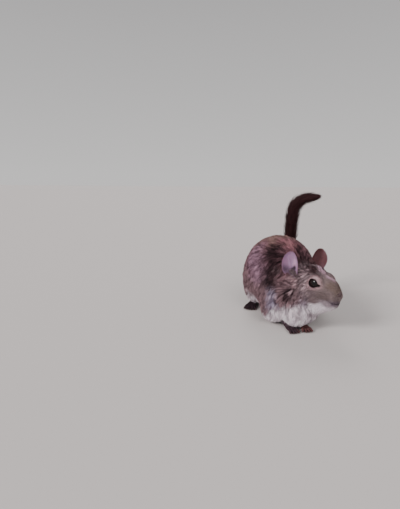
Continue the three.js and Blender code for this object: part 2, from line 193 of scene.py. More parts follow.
def coat_depth(points, headness):
    """How deep the skin lies under the tips of the coat."""
    face = ramp(head_axes(points)[:, 0], -16, 6)
    trunk_depth, *head_depths = COAT_DEPTHS
    return mix(trunk_depth, mix(*head_depths, face), headness)


def segment_distance(points, a, b):
    """Distance from the line between two places, and how far along it the nearest place is, 0 to 1."""
    along = b - a
    t = np.clip((points - a) @ along / (along @ along), 0, 1)
    return np.linalg.norm(points - a - t[:, None] * along, axis=1), t


def line_distance(points, line):
    line = np.array(line, float)
    return np.min([segment_distance(points, a, b)[0] for a, b in zip(line[:-1], line[1:])], axis=0)


def cones(points, parts, blend):
    """Distance from rods that melt into one another: two ends, and the radius at each."""
    total = np.full(len(points), FAR)
    for a, b, radius_a, radius_b in parts:
        distance, t = segment_distance(points, a, b)
        total = smooth_min(total, distance - mix(radius_a, radius_b, t), blend)
    return total


class Foot:
    """A foot with its toes in a fan, as a distance field, and the places of its claws."""

    def __init__(self, at, heading, length, width, toes, toe_share, sole):
        self.forward = np.array([math.sin(heading), -math.cos(heading), 0])
        self.left = np.array([math.cos(heading), math.sin(heading), 0])
        self.at, self.length, self.width = np.array(at, float), length, width
        end = 1 - toe_share
        heel, pad = self.place(0, 0, sole), self.place(0.55 * end, 0, sole * 0.85)
        self.sole = [(heel, pad, sole * 0.95, sole * 0.85)]
        self.toes, self.claws = [], []
        for toe in range(toes):
            fan = toe / (toes - 1) - 0.5
            reach = 1 - 0.6 * fan * fan
            root = self.place(end - 0.12, fan * 0.62, 2.0)
            knuckle = self.place(end + toe_share * 0.4 * reach, fan * 0.95, 2.2)
            tip = self.place(end + toe_share * 0.85 * reach, fan * 1.15, 1.15)
            claw = self.place(end + toe_share * (reach + 0.1), fan * 1.25, 0.4)
            self.sole.append((self.place(0.25 * end, fan * 0.3, sole * 0.85), root, sole * 0.7, 1.45))
            self.toes += [(root, knuckle, 1.25, 1.15), (knuckle, tip, 1.15, 0.95)]
            self.claws.append((knuckle, tip, claw))

    def place(self, ahead, beside, up):
        spot = self.at + ahead * self.length * self.forward + beside * self.width * self.left
        return np.array([spot[0], spot[1], up])

    def distance(self, points):
        foot = smooth_min(cones(points, self.sole, 1.0), cones(points, self.toes, 0), 0.9)
        return smooth_max(foot, 0.02 - points[:, 2], 0.5)


FEET, LEG_PARTS = [], []
for side in (1, -1):
    leg = FORELEGS[side]
    FEET.append(Foot((-7 + side * 25, 26, 0), side * 0.12, 35, 9, 5, 0.35, 2.5))
    FEET.append(Foot(leg["wrist"], leg["heading"], 15, 7, 4, 0.5, 2.3))
for leg in FORELEGS.values():
    elbow, wrist = np.array(leg["elbow"], float), np.array(leg["wrist"], float)
    middle = mix(elbow, wrist, 0.62)
    middle[2], wrist[2] = 9, 2.6
    LEG_PARTS += [(elbow, middle, 5.2, 3.7), (middle, wrist, 3.7, 2.4)]


def limbs(points):
    total = cones(points, LEG_PARTS, 1)
    for foot in FEET:
        total = smooth_min(total, foot.distance(points), 1.6)
    return total


def between(t, start, end, a, b):
    return ((end - t) * a + (t - start) * b) / (end - start)


def smooth_line(points, steps):
    """A smooth line through points at even steps, and its length."""
    p = np.concatenate([[2 * points[0] - points[1]], points, [2 * points[-1] - points[-2]]])
    k = np.concatenate([[0], np.cumsum(np.linalg.norm(np.diff(p, axis=0), axis=1) ** 0.5)])
    line = []
    for i in range(1, len(p) - 2):
        t = np.linspace(k[i], k[i + 1], 24, endpoint=False)[:, None]
        a, b, c = (between(t, k[j], k[j + 1], p[j], p[j + 1]) for j in (i - 1, i, i + 1))
        a, b = between(t, k[i - 1], k[i + 1], a, b), between(t, k[i], k[i + 2], b, c)
        line.append(between(t, k[i], k[i + 1], a, b))
    line = np.concatenate(line + [points[-1:]])
    length = np.concatenate([[0], np.cumsum(np.linalg.norm(np.diff(line, axis=0), axis=1))])
    even = np.linspace(0, length[-1], steps)
    return np.stack([np.interp(even, length, line[:, axis]) for axis in range(3)], 1), length[-1]


TAIL_LINE, TAIL_LENGTH = smooth_line(TAIL_POINTS, 101)
TAIL_ALONG = unit(np.gradient(TAIL_LINE, axis=0))


def stem_radius(share):
    return mix(TAIL_STEM_RADIUS, TAIL_TIP_RADIUS, np.minimum(share / 0.9, 1))


STEM_PARTS = [
    (TAIL_LINE[i], TAIL_LINE[i + 3], *stem_radius(np.array([i, i + 3]) / 100) * 0.9) for i in range(0, 90, 3)
]


def tail_stem(points):
    return cones(points, STEM_PARTS, 0)


def beside_tail(share, around, reach):
    """Points beside the tail, and there the directions outward and along it."""
    inside = np.clip(share, 0, 1) * 100
    low = np.minimum(inside.astype(int), 99)
    part = (inside - low)[:, None]
    along = unit(mix(TAIL_ALONG[low], TAIL_ALONG[low + 1], part))
    centre = mix(TAIL_LINE[low], TAIL_LINE[low + 1], part)
    centre = centre + along * ((share - np.clip(share, 0, 1)) * TAIL_LENGTH)[:, None]
    back = unit(np.array([0.0, 1.0, 0.0]) - along * along[:, 1:2])
    out = back * np.cos(around)[:, None] + np.cross(along, back) * np.sin(around)[:, None]
    return centre + out * reach[:, None], out, along


# The opening between the lids, round the eye's centre: ahead and above, with a point at its front corner
AROUND = np.linspace(-math.pi, math.pi, 72, endpoint=False)
CORNER = np.exp(-((AROUND + 0.35) ** 2) / 0.06)
OPENING = np.stack([np.cos(AROUND) * LID_WIDTH + 1.9 * CORNER, np.sin(AROUND) * LID_HEIGHT - 0.4 * CORNER], 1)
OPENING = np.concatenate([OPENING, OPENING[:1]])


def opening_distance(places):
    """Signed distance from the opening's edge in the plane of the lids; negative inside."""
    inside = np.zeros(len(places), bool)
    for a, b in zip(OPENING[:-1], OPENING[1:]):
        along = b - a
        crosses = (a[1] > places[:, 1]) != (b[1] > places[:, 1])
        inside ^= crosses & (places[:, 0] < a[0] + (places[:, 1] - a[1]) * along[0] / (along[1] or 1e-12))
    edge = line_distance(places, OPENING)
    return np.where(inside, -edge, edge)


def at_eyes(local, low, high):
    """For each eye: which places are near it, where they are round its centre, how far from its opening."""
    for side in (1, -1):
        eye = local * np.array([1, side, 1]) - EYE_AT
        rows = np.nonzero(((eye > low) & (eye < high)).all(1))[0]
        yield rows, eye[rows], opening_distance(eye[rows][:, [0, 2]])


def cast_out(origins, directions, level):
    """Points 'level' outside the coat's surface, walked out from points inside it."""
    reach = np.zeros(len(origins))
    for _ in range(60):
        gap = coat_distance(origins + directions * reach[:, None]) - level
        reach = np.maximum(reach - 0.7 * gap, 0)
    return origins + directions * reach[:, None]


turn = np.linspace(-1, 1, 41)
MOUTH = cast_out(
    np.array([in_head(13, 0, -15.8 + 2.4 * t * t) for t in turn]),
    np.array([math.cos(t * 1.45) * FORWARD + math.sin(t * 1.45) * LEFT for t in turn]),
    -0.7,
)
NOSTRILS = [
    cast_out(in_head(18, 0, -6.8)[None], unit(FORWARD + side * 0.62 * LEFT + 0.12 * UP)[None], -0.5)[0]
    for side in (1, -1)
]
NOSTRIL_SIZE = np.array([0.75, 0.75, 0.42])


def face_details(points, local, total):
    """Lids, mouth, nostrils and the groove under the nose, cut and raised on the skin's field."""
    for rows, eye, edge in at_eyes(local, -9, 9):
        front = eye[:, 1] > 0
        lid = smooth_min(total[rows], np.linalg.norm(eye, axis=1) - (EYE_RADIUS + 0.45), 1.6)
        lid = lid - 0.22 * hump(edge, 0.55, 0.45) * front + 0.16 * hump(edge, 1.5, 0.35) * front
        total[rows] = smooth_max(lid, -np.maximum(edge, 1.0 - eye[:, 1]), 0.25)
    rows = np.nonzero((local[:, 0] > 4) & (np.abs(local[:, 1]) < 13) & (total < 4))[0]
    points, local = points[rows], local[rows]
    mouth = line_distance(points, MOUTH)
    value = smooth_max(total[rows] - 0.28 * hump(mouth, 1.0, 0.55), 0.42 - mouth, 0.4)
    for spot in NOSTRILS:
        hollow = (away(points, spot, NOSTRIL_SIZE) - 1) * 0.45
        value = smooth_max(value - 0.2 * hump(away(points, spot), 1.15, 0.4), -hollow, 0.25)
    groove = hump(local[:, 1], 0, 0.3) * ramp(local[:, 0], 18.5, 20) * ramp(-local[:, 2], 6.5, 8)
    total[rows] = value + 0.3 * groove
    return total


def skin(points):
    """How far points are outside the skin."""
    distance, headness = coat(points)
    total = distance + coat_depth(points, headness)
    low = np.nonzero(points[:, 2] < 32)[0]
    total[low] = smooth_min(total[low], limbs(points[low]), 2.2)
    back = np.nonzero((points[:, 1] > 28) & (points[:, 2] > 24))[0]
    total[back] = smooth_min(total[back], tail_stem(points[back]), 7)
    local = head_axes(points)
    near = np.nonzero((local[:, 0] > -10) & (np.abs(local[:, 1]) < 20) & (np.abs(local[:, 2] + 6) < 18))[0]
    total[near] = face_details(points[near], local[near], total[near])
    return total


def slope_of(field, points):
    """A field's values at points, and its slopes there."""
    base = field(points)
    return base, np.stack([field(points + SLOPE_STEP * axis) - base for axis in np.eye(3)], 1) / SLOPE_STEP


def settle(points, rounds, limit):
    """Moves points onto the skin."""
    for _ in range(rounds):
        value, slope = slope_of(skin, points)
        push = value / np.maximum((slope**2).sum(1), 0.3)
        points = points - slope * np.clip(push, -limit, limit)[:, None]
    return points


# The skin: the field's surface on an even grid, made finer on the head and finest at eyes, nose and mouth
STEP = 0.85
CHUNK = 400000  # how many points of the grid are worked out at a time
GRID_LOW = np.array([-49.0, -66.0, -1.2])
GRID_HIGH = np.array([48.0, 66.0, 118.0])


def sampled(low, high):
    grid = np.meshgrid(*(np.arange(a, b + STEP, STEP) for a, b in zip(low, high)), indexing="ij")
    points = np.stack(grid, -1).reshape(-1, 3)
    values = [skin(points[i:i + CHUNK]) for i in range(0, len(points), CHUNK)]
    return np.concatenate(values).reshape(grid[0].shape)


def surface_of(values, origin):
    """Surface nets: a vertex in each cell that the surface crosses, a face across each crossed edge."""
    inside = values < 0
    shape = np.array(values.shape) - 1
    count = np.zeros(shape, np.int8)
    for i, j, k in np.ndindex(2, 2, 2):
        count += inside[i:shape[0] + i, j:shape[1] + j, k:shape[2] + k]
    active = (count > 0) & (count < 8)
    index = np.full(active.shape, -1)
    index[active] = np.arange(active.sum())
    cells = np.argwhere(active)
    total, hits = np.zeros((len(cells), 3)), np.zeros(len(cells))
    faces = []
    for axis in range(3):
        along, one, two = np.roll(np.eye(3, dtype=int), -axis, 0)
        for i, j in np.ndindex(2, 2):
            low = cells + i * one + j * two
            a, b = values[tuple(low.T)], values[tuple((low + along).T)]
            crosses = (a < 0) != (b < 0)
            share = np.where(crosses, a / np.where(a == b, 1, a - b), 0)
            total[crosses] += (low + share[:, None] * along - cells)[crosses]
            hits[crosses] += 1
        edges = np.argwhere(np.diff(inside, axis=axis))
        edges = edges[(((edges > 0) & (edges < shape)) | (along == 1)).all(1)]
        ring = ((0, 0), (1, 0), (1, 1), (0, 1))
        quads = np.stack([index[tuple((edges - i * one - j * two).T)] for i, j in ring], 1)
        flip = ~inside[tuple(edges.T)]
        quads[flip] = quads[flip][:, ::-1]
        faces.append(quads)
    return origin + (cells + total / hits[:, None]) * STEP, np.concatenate(faces)


def subdivide(vertices, triangles, chosen):
    """Splits the chosen triangles in four, and their neighbours to match."""
    pairs = np.sort(triangles[:, [[0, 1], [1, 2], [2, 0]]], axis=2).reshape(-1, 2)
    keys, back = np.unique(pairs[:, 0] * len(vertices) + pairs[:, 1], return_inverse=True)
    back = back.reshape(-1, 3)
    split = np.zeros(len(keys), bool)
    split[back[chosen]] = True
    middle = np.full(len(keys), -1)
    middle[split] = len(vertices) + np.arange(split.sum())
    ends = np.stack([keys[split] // len(vertices), keys[split] % len(vertices)], 1)
    middles = middle[back]
    count = (middles >= 0).sum(1)
    # columns 0 to 2 are a triangle's corners, 3 to 5 the middles of its sides 0-1, 1-2 and 2-0
    spots = np.concatenate([triangles, middles], 1)
    parts = [triangles[count == 0]]
    parts += [spots[count == 3][:, part] for part in ([3, 4, 5], [0, 3, 5], [3, 1, 4], [5, 4, 2])]
    for k in range(3):
        spots = np.concatenate([np.roll(triangles, -k, 1), np.roll(middles, -k, 1)], 1)
        halved = spots[(count == 1) & (spots[:, 3] >= 0)]
        parts += [halved[:, part] for part in ([0, 3, 2], [3, 1, 2])]
        thirds = spots[(count == 2) & (spots[:, 3] < 0)]
        parts += [thirds[:, part] for part in ([0, 1, 4], [0, 4, 5], [5, 4, 2])]
    return np.concatenate([vertices, vertices[ends].mean(1)]), np.concatenate(parts)


vertices, quads = surface_of(sampled(GRID_LOW, GRID_HIGH), GRID_LOW)
vertices = settle(vertices, 2, 0.5)
triangles = np.concatenate([quads[:, [0, 1, 2]], quads[:, [0, 2, 3]]])
centres = vertices[triangles].mean(1)
local = head_axes(centres)
on_head = (local[:, 0] > -24) & (np.abs(local[:, 1]) < 26) & (local[:, 2] > -19)
vertices, triangles = subdivide(vertices, triangles, on_head | (centres[:, 2] < 5.5))
vertices = settle(vertices, 2, 0.3)
for reach in (3.2, 1.5):
    centres = vertices[triangles].mean(1)
    local = head_axes(centres)
    fine = np.zeros(len(centres), bool)
    for rows, _, edge in at_eyes(local, (-11, -3, -11), (11, 8, 11)):
        fine[rows] |= np.abs(edge) < reach
    rows = np.nonzero((local[:, 0] > 6) & (local[:, 2] > -19))[0]
    fine[rows] |= line_distance(centres[rows], MOUTH) < reach
    for spot in NOSTRILS:
        fine |= away(centres, spot) < reach * 1.2
    vertices, triangles = subdivide(vertices, triangles, fine)
    vertices = settle(vertices, 2, 0.15)
vertices[:, 2] = np.maximum(vertices[:, 2], 0)

# From design millimetres to the row frame in metres: the solids' right eye says where the origin is
low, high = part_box("eye_right")
SHIFT = np.array((low + high) / 2) - in_head(EYE_AT[0], -EYE_AT[1], EYE_AT[2]) * MM


def srgb(*colour):
    c = np.array(colour, float)
    return np.where(c <= 0.04045, c / 12.92, ((c + 0.055) / 1.055) ** 2.4)


# Coat colours
BACK = srgb(0.405, 0.29, 0.315)
BACK_TOP = srgb(0.47, 0.37, 0.355)
BACK_REAR = srgb(0.43, 0.345, 0.325)
FLANK = srgb(0.45, 0.36, 0.38)
LILAC = srgb(0.54, 0.43, 0.50)
# Dark fur; also painted shade behind the ears and in the cleft down the front of the neck
DARK_FUR_AND_SHADE = srgb(0.125, 0.07, 0.085)
ROSE = srgb(0.56, 0.37, 0.41)
SHOULDER = srgb(0.57, 0.54, 0.62)
CREAM = srgb(0.89, 0.86, 0.89)
CHEEK = srgb(0.515, 0.45, 0.465)
PALE_LOCK = srgb(0.62, 0.53, 0.55)
TEMPLE = srgb(0.71, 0.61, 0.635)
SNOUT = srgb(0.51, 0.45, 0.45)
SNOUT_TOP = srgb(0.46, 0.395, 0.36)
CROWN = srgb(0.19, 0.105, 0.12)
# Painted highlight along the ridge of the head and the top of the snout
RIDGE_HIGHLIGHT = srgb(0.80, 0.66, 0.73)
EYE_RING = srgb(0.80, 0.66, 0.68)
CHEEK_LOW = srgb(0.33, 0.25, 0.29)
CHIN = srgb(0.60, 0.55, 0.58)
LIP = srgb(0.27, 0.21, 0.24)
LIP_SIDE = srgb(0.36, 0.31, 0.37)
BIB_SHADE = srgb(0.58, 0.53, 0.56)
NOSE = srgb(0.38, 0.31, 0.315)
LEG = srgb(0.30, 0.25, 0.28)
FOOT = srgb(0.31, 0.24, 0.27)
FOOT_PINK = srgb(0.46, 0.31, 0.31)
TOE = srgb(0.46, 0.33, 0.34)
BRUSH = srgb(0.20, 0.088, 0.098)
# Painted shade in the mouth's slit, in the nostrils and where the lids meet the eye
SLIT_SHADE = srgb(0.11, 0.07, 0.08)

# Marks of the coat: colour, strength, how far it reaches, and the line that it follows. Those of the trunk
# lie right of its middle and are mirrored to the left; those of the head are ahead, aside and up in its own
# axes.
TRUNK_MARKS = [
    (LILAC, 0.7, 11, [(-31, -16, 60), (-27, -33, 46)]),
    # painted shade over darker fur, behind the ear and down the side of the neck
    (DARK_FUR_AND_SHADE, 0.95, 8.8, [(-12, -25, 68), (-13, -36, 57), (-14, -43, 44)]),
    (DARK_FUR_AND_SHADE, 0.85, 5.0, [(-14, -42, 45), (-12, -47.5, 37)]),
    (ROSE, 0.75, 7, [(0, -12, 72), (7, -24, 67), (14, -21, 65)]),
    (SHOULDER, 0.9, 6.0, [(-13.5, -48.5, 31), (-12, -51.8, 20)]),
    (PALE_LOCK, 0.4, 2.4, [(-8.4, -40, 52), (-8.8, -44.5, 43)]),
    # painted shade in the cleft down the front of the neck, behind the cheek
    (DARK_FUR_AND_SHADE, 1.0, 3.0, [(-1.2, -46.6, 45.5), (-3.4, -50.8, 40.6), (-2.6, -55, 35.3), (-1, -57.3, 29)]),
]
RUFF_MARKS = [  # on the right cheek and the neck below its ear only
    (TEMPLE, 0.85, 3.0, [(13.2, -35, 58), (14, -38, 56.4), (14.5, -42.9, 53), (15, -45.5, 51)]),
    (EYE_RING, 0.95, 3.2, [(5.6, -46.6, 46), (6.4, -50.6, 42)]),
    (TEMPLE, 0.8, 2.0, [(4.9, -53.2, 38.8), (4.2, -55.6, 36), (4.6, -57.7, 30)]),
    (TEMPLE, 0.8, 1.8, [(9.7, -51.8, 41), (10, -53.8, 39.5), (9, -56, 34.3), (8.6, -57.6, 30)]),
    (TEMPLE, 0.85, 1.7, [(15.4, -53.4, 39.8), (14.9, -54.7, 37.8), (12.2, -56.3, 33)]),
    (DARK_FUR_AND_SHADE, 0.85, 1.4, [(11.6, -53.8, 39), (10.9, -56.8, 32)]),
    (DARK_FUR_AND_SHADE, 0.85, 1.9, [(1.2, -57, 30.5), (2, -57.9, 28)]),
]
HEAD_MARKS = [
    (CROWN, 0.95, 4.3, [(-27, 4, 17), (-19, 3.6, 12.9), (-9, 5.6, 10.8), (-3, 5.8, 9.8)]),
    (CROWN, 0.7, 2.3, [(-6.3, 9.3, 7.4), (-3, 6.8, 9.4), (5.2, 8.3, 5.7)]),
    (TEMPLE, 0.75, 3.0, [(-17.5, 5.6, 12.2), (-12.4, 10.2, 8.3), (-11, 12.5, 4.5)]),
    (CHEEK_LOW, 0.55, 2.6, [(-3, 20, -13.5), (2, 16, -15.5)]),
    (SNOUT_TOP, 0.7, 4.0, [(14, 3, -1), (20, 2, -4.5)]),
    (CROWN, 0.85, 1.7, [(-16.4, 15, 5), (-12.6, 17.6, 0.2)]),
    (LIP_SIDE, 0.75, 2.3, [(18.4, 3.9, -16), (21, 2, -14.8)]),
    (CHIN, 0.6, 1.6, [(15.9, 6.4, -13.1), (18, 5, -13)]),
    # painted highlight down the middle of the head and the top of the snout
    (RIDGE_HIGHLIGHT, 0.85, 1.7, [(-3.5, 0, 12.4), (1.8, 0.3, 9.3), (8.4, 0.4, 5.5), (13, 0.3, 2.3)]),
]
NECK_MIDDLE = 2.0  # the line that the trunk's marks are mirrored in
# The bib's upper edge: height above the floor at places across the breast
BIB_BORDER = np.array([
    (-18, 10), (-12, 15), (-6, 20.5), (-1.5, 22.5), (6, 22.5), (15, 25), (22, 27), (29, 27.5), (38, 24.4),
])
BIB_EDGE = [(-13, -51.5, 14), (-9, -54, 19), (1, -58.2, 19.5)]  # where the bib's edge is grey
TAIL_DARKENS = (46, 58)  # heights between which the tail turns from the back's colour to the brush's
SKIN_SHADE = 0.8  # the skin is darker than the coat over it
# Painted shade darkens the creases between the toes
CREASE_SHADE_REACH = 1.3  # how far off the skin of the feet the next toe darkens the crease between them


def layered(colour, *layers):
    """A colour with others laid over it, each with its share at each place."""
    for other, share in layers:
        colour = mix(colour, other, np.clip(share, 0, 1)[:, None])
    return colour


def marked(colour, places, marks):
    for shade, strength, reach, line in marks:
        colour = layered(colour, (shade, strength * np.exp(-((line_distance(places, line) / reach) ** 3))))
    return colour


def waves(points, scale, seed):
    """Smooth noise from a few crossed waves, about -1 to 1."""
    draw = np.random.default_rng(seed)
    total = np.zeros(len(points))
    for _ in range(5):
        direction = unit(draw.normal(size=3))
        phase = points @ direction * draw.uniform(0.7, 1.4) * 2 * math.pi / scale
        total += np.sin(phase + draw.uniform(0, 6.28))
    return total / 2.4


def marking(points, normals):
    """The coat's colour at places on the skin; skin and tufts both take it from here."""
    x, y, z = points.T
    local = head_axes(points)
    forward, _, above = local.T
    headness = coat(points)[1]
    ragged = points + 1.2 * np.stack([waves(points, 7, seed) for seed in (4, 5, 6)], 1)
    mirrored = ragged.copy()
    mirrored[:, 0] = NECK_MIDDLE - np.abs(ragged[:, 0] - NECK_MIDDLE)
    folded = head_axes(0.6 * points + 0.4 * ragged)
    folded[:, 1] = np.abs(folded[:, 1])
    unseen = np.maximum(ramp(y, 2, 26), ramp(x, 16, 30) * (1 - headness))
    colour = layered(
        FLANK, (BACK, ramp(z + 5 * waves(points, 22, 1), 34, 58)),
        (BACK_TOP, ramp(z + 2 * waves(points, 16, 2), 66, 74)), (BACK_REAR, 0.85 * unseen),
    )
    head_colour = layered(
        CHEEK, (SNOUT, ramp(forward, 1, 9)),
        (CHIN, ramp(-above, 12.5, 15) * ramp(forward, 3, 9)),
    )
    colour = marked(colour, mirrored, TRUNK_MARKS)
    colour = layered(colour, (marked(head_colour, folded, HEAD_MARKS), headness))
    colour = marked(colour, ragged, RUFF_MARKS)
    throat = mix(0.25, 0.8, headness)
    belly = ramp(-normals[:, 2], throat, throat + 0.4) * ramp(y, 40, 20)
    border = np.interp(x, *BIB_BORDER.T) + waves(points, 9, 3)
    bib = ramp(border - z, -1.6, 1.4) * ramp(-y, 34, 46)
    streaks = ramp(waves(points * np.array([1.0, 1.0, 0.35]), 7, 8), 0.1, 1.1)
    colour = layered(
        colour, (CREAM, 0.85 * belly), (mix(CREAM, BIB_SHADE, 0.45 * streaks[:, None]), bib),
        (BIB_SHADE, 0.6 * np.exp(-((line_distance(mirrored, BIB_EDGE) / 4) ** 3))),
    )
    for rows, eye, edge in at_eyes(local, -10, 10):
        colour[rows] = layered(
            colour[rows], (EYE_RING, 0.75 * hump(edge, 1.5, 1.3) * ramp(eye[:, 1], -2, 2)),
            # painted shade where the lids meet the eye
            (SLIT_SHADE, ramp(-edge, -0.75, -0.2) * ramp(eye[:, 1], -2, 1)),
        )
    rows = np.nonzero((forward > 4) & (headness > 0.5))[0]
    mouth = line_distance(points[rows], MOUTH)
    ahead = mix(0.45, 1, ramp(forward[rows], 14, 19))
    pad = away(local[rows], (21.6, 0, -7.2), (2.2, 2.9, 2.2))
    hollows = (away(points[rows], spot) for spot in NOSTRILS)
    colour[rows] = layered(
        # painted shade in the mouth's slit and in the nostrils
        colour[rows], (LIP, 0.7 * ahead * hump(mouth, 0, 1.5)), (SLIT_SHADE, ahead * hump(mouth, 0, 0.5)),
        (NOSE, 1 - ramp(pad, 0.8, 1.3)),
        *((SLIT_SHADE, 1 - ramp(hollow, 0.4, 0.85)) for hollow in hollows),
    )
    limb = limbs(points)
    on_limb = 1 - ramp(limb, 0.4, 2.0)
    pinker = ramp(x, 10, 14) * ramp(-y, 20, 30)
    colour = layered(
        colour, (LEG, on_limb * ramp(-z, -16, -9)),
        (mix(FOOT, FOOT_PINK, pinker[:, None]), on_limb * ramp(-z, -8, -4.5)),
        (TOE, on_limb * ramp(-z, -2.4, -0.6) * 0.7),
    )
    # Painted shade in the creases between the toes and where feet and legs meet
    rows = np.nonzero((z < 9) & (on_limb > 0.1))[0]
    gap = limbs(points[rows] + CREASE_SHADE_REACH * normals[rows]) - limb[rows]
    crease = np.clip(1 - gap / CREASE_SHADE_REACH, 0, 1)
    colour[rows] *= (1 - 0.8 * ramp(crease, 0.1, 0.5))[:, None]
    dark = (1 - ramp(tail_stem(points), 1.2, 4)) * ramp(z, *TAIL_DARKENS) * ramp(y, 40, 48)
    return layered(colour, (BRUSH, dark))


# Materials
def fill(tree, made, inputs):
    """Gives a node its inputs: another node's socket is linked, anything else is a fixed value."""
    for name, value in inputs.items():
        if isinstance(value, bpy.types.NodeSocket):
            tree.links.new(value, made.inputs[name])
        else:
            made.inputs[name].default_value = value


def node(tree, kind, inputs, **settings):
    made = tree.nodes.new("ShaderNode" + kind)
    for name, value in settings.items():
        setattr(made, name, value)
    fill(tree, made, inputs)
    return made.outputs


def coloured_material(name, grain, grain_size, roughness, specular, bump=0, more=None):
    """A surface that takes its colour from the marking, with a fine grain in its colour, and in its height
    where a bump is given.
    """
    material = bpy.data.materials.new(name)
    material.use_nodes = True
    tree = material.node_tree
    marks = node(tree, "Attribute", {}, attribute_name="Marking")["Color"]
    place = node(tree, "TexCoord", {})["Object"]
    noise = node(tree, "TexNoise", {"Vector": place, "Scale": grain_size, "Detail": 4})["Fac"]
    spread = node(tree, "MapRange", {"Value": noise, "To Min": 1 - grain, "To Max": 1 + grain})["Result"]
    tint = node(tree, "VectorMath", {0: marks, "Scale": spread}, operation="SCALE")["Vector"]
    inputs = {"Base Color": tint, "Roughness": roughness, "Specular IOR Level": specular, **(more or {})}
    if bump:
        inputs["Normal"] = node(tree, "Bump", {"Strength": 0.6, "Distance": bump, "Height": noise})["Normal"]
    fill(tree, tree.nodes["Principled BSDF"], inputs)
    return material


SKIN_LOOK = coloured_material("degu_skin", 0.22, 1500, 0.8, 0.2, 0.00015)
FUR_LOOK = coloured_material("degu_fur", 0.14, 500, 0.78, 0.15)
BRUSH_LOOK = coloured_material("degu_brush", 0.3, 700, 0.7, 0.25)
EAR_DEPTH = {"Subsurface Weight": 0.2, "Subsurface Scale": 0.001}
EAR_LOOK = coloured_material("degu_ear", 0.12, 900, 0.6, 0.35, 0.0001, EAR_DEPTH)
CLAW_LOOK = coloured_material("degu_claw", 0.1, 1200, 0.35, 0.5)
EYE_LOOK = coloured_material("degu_eye", 0.05, 900, 0.03, 0.35)
WHISKER_LOOK = coloured_material("degu_whisker", 0.05, 900, 0.4, 0.5)


def piece(name, points, faces, colours, material, uv=None):
    """A mesh of triangles from design millimetres, with its marking as a colour attribute, on the body."""
    mesh = bpy.data.meshes.new(name)
    mesh.vertices.add(len(points))
    mesh.vertices.foreach_set("co", (points * MM + SHIFT).astype(np.float32).ravel())
    mesh.loops.add(faces.size)
    mesh.loops.foreach_set("vertex_index", faces.ravel().astype(np.int32))
    mesh.polygons.add(len(faces))
    mesh.polygons.foreach_set("loop_start", np.arange(0, faces.size, 3, dtype=np.int32))
    mesh.polygons.foreach_set("loop_total", np.full(len(faces), 3, np.int32))
    mesh.update(calc_edges=True)
    mesh.polygons.foreach_set("use_smooth", np.full(len(faces), uv is None))
    marks = mesh.color_attributes.new(name="Marking", type="FLOAT_COLOR", domain="POINT")
    opaque = np.concatenate([colours, np.ones((len(colours), 1))], 1)
    marks.data.foreach_set("color", opaque.astype(np.float32).ravel())
    if uv is not None:
        layer = mesh.uv_layers.new(name="OFBake")
        layer.data.foreach_set("uv", uv[faces.ravel()].astype(np.float32).ravel())
    mesh.materials.append(material)
    mesh.validate()
    made = bpy.data.objects.new(name, mesh)
    bpy.context.scene.collection.objects.link(made)
    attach(made, "root")
    return made


def triangle_normals(points, faces):
    a, b, c = (points[faces[:, i]] for i in range(3))
    return np.cross(b - a, c - a)


skin_normals = np.zeros_like(vertices)
for corner in range(3):
    np.add.at(skin_normals, triangles[:, corner], triangle_normals(vertices, triangles))
skin_normals = unit(skin_normals)
skin_colours = marking(vertices, skin_normals) * SKIN_SHADE
body_skin = piece("skin", vertices, triangles, skin_colours, SKIN_LOOK)
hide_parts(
    "head", "neck", "torso", "foreleg_left", "foreleg_right", "forefoot_left", "forefoot_right",
    "hind_leg_left", "hind_leg_right", "hind_foot_left", "hind_foot_right", "tail_base", "tail_middle",
    "tail_brush",
)

# Tufts of hair
# How many tufts and locks grow on a square millimetre; the head's are for the back of it and for the face
TRUNK_TUFTS = 8.2
TRUNK_LOCKS = 0.27
HEAD_TUFTS = (15, 30)
HEAD_LOCKS = (0.4, 1.8)
LEG_TUFTS = 16.0
EAR_HAIRS = (14.0, 5.0)  # on the back of an ear and inside it
FLOOR_GAP = 0.05  # no hair goes lower than this
ROOT_SINK = 0.25  # how far under the skin a tuft starts
TUFT_PATCH = 0.003  # a tuft's width on the unwrap
LOCK_CELL = 3.0  # size of the grid's cells in which the seeds of locks are looked up
LOCK_STRETCH = 0.24  # a lock's width over its length
GATHER = 0.6  # how far a tuft's tip moves over to the middle of its lock
SEEN_AT = 0.6  # where along its length a tuft shows above its neighbours
NOSE_TIP = in_head(22.5, 0, -7)
# What a dark and a light lock make of the coat's colour
DARK_TINT = np.array([0.27, 0.22, 0.25])
LIGHT_TINT = np.array([2.0, 1.97, 1.94])
# Lines inside the body that the unwraps go round, and how far off them the skin is
UNWRAPS = {
    "trunk": (np.array([-3.0, 22, 34]), np.array([4.0, -34, 30]), 35),
    "head": (in_head(-20, 0, -4), in_head(15, 0, -8), 14),
}


def eye_edge(points):
    """Distance from the nearer eye's opening, in the eye's plane; large elsewhere."""
    edges = np.full(len(points), 99.0)
    for rows, _, edge in at_eyes(head_axes(points), (-10, -1, -10), 10):
        edges[rows] = edge
    return edges


def bare(points, normals):
    """Where no hair grows: between the lids, on the nose pad, in the mouth and under the feet."""
    local = head_axes(points)
    nose = away(local, (21.8, 0, -7.2), (2.0, 2.6, 2.0)) < 1
    front = np.nonzero(local[:, 0] > 4)[0]
    lips = np.zeros(len(points), bool)
    lips[front] = line_distance(points[front], MOUTH) < 0.75
    under = (points[:, 2] < 2.2) & (normals[:, 2] < 0.1)
    return (eye_edge(points) < 0.35) | nose | lips | under


def on_body(points):
    """Where the long coat grows: all but the feet, the lower legs and the tail."""
    low = limbs(points) < 1.2
    tail = (tail_stem(points) < 2.0) & (points[:, 1] > 40)
    return ~(low & (points[:, 2] < 12)) & ~tail


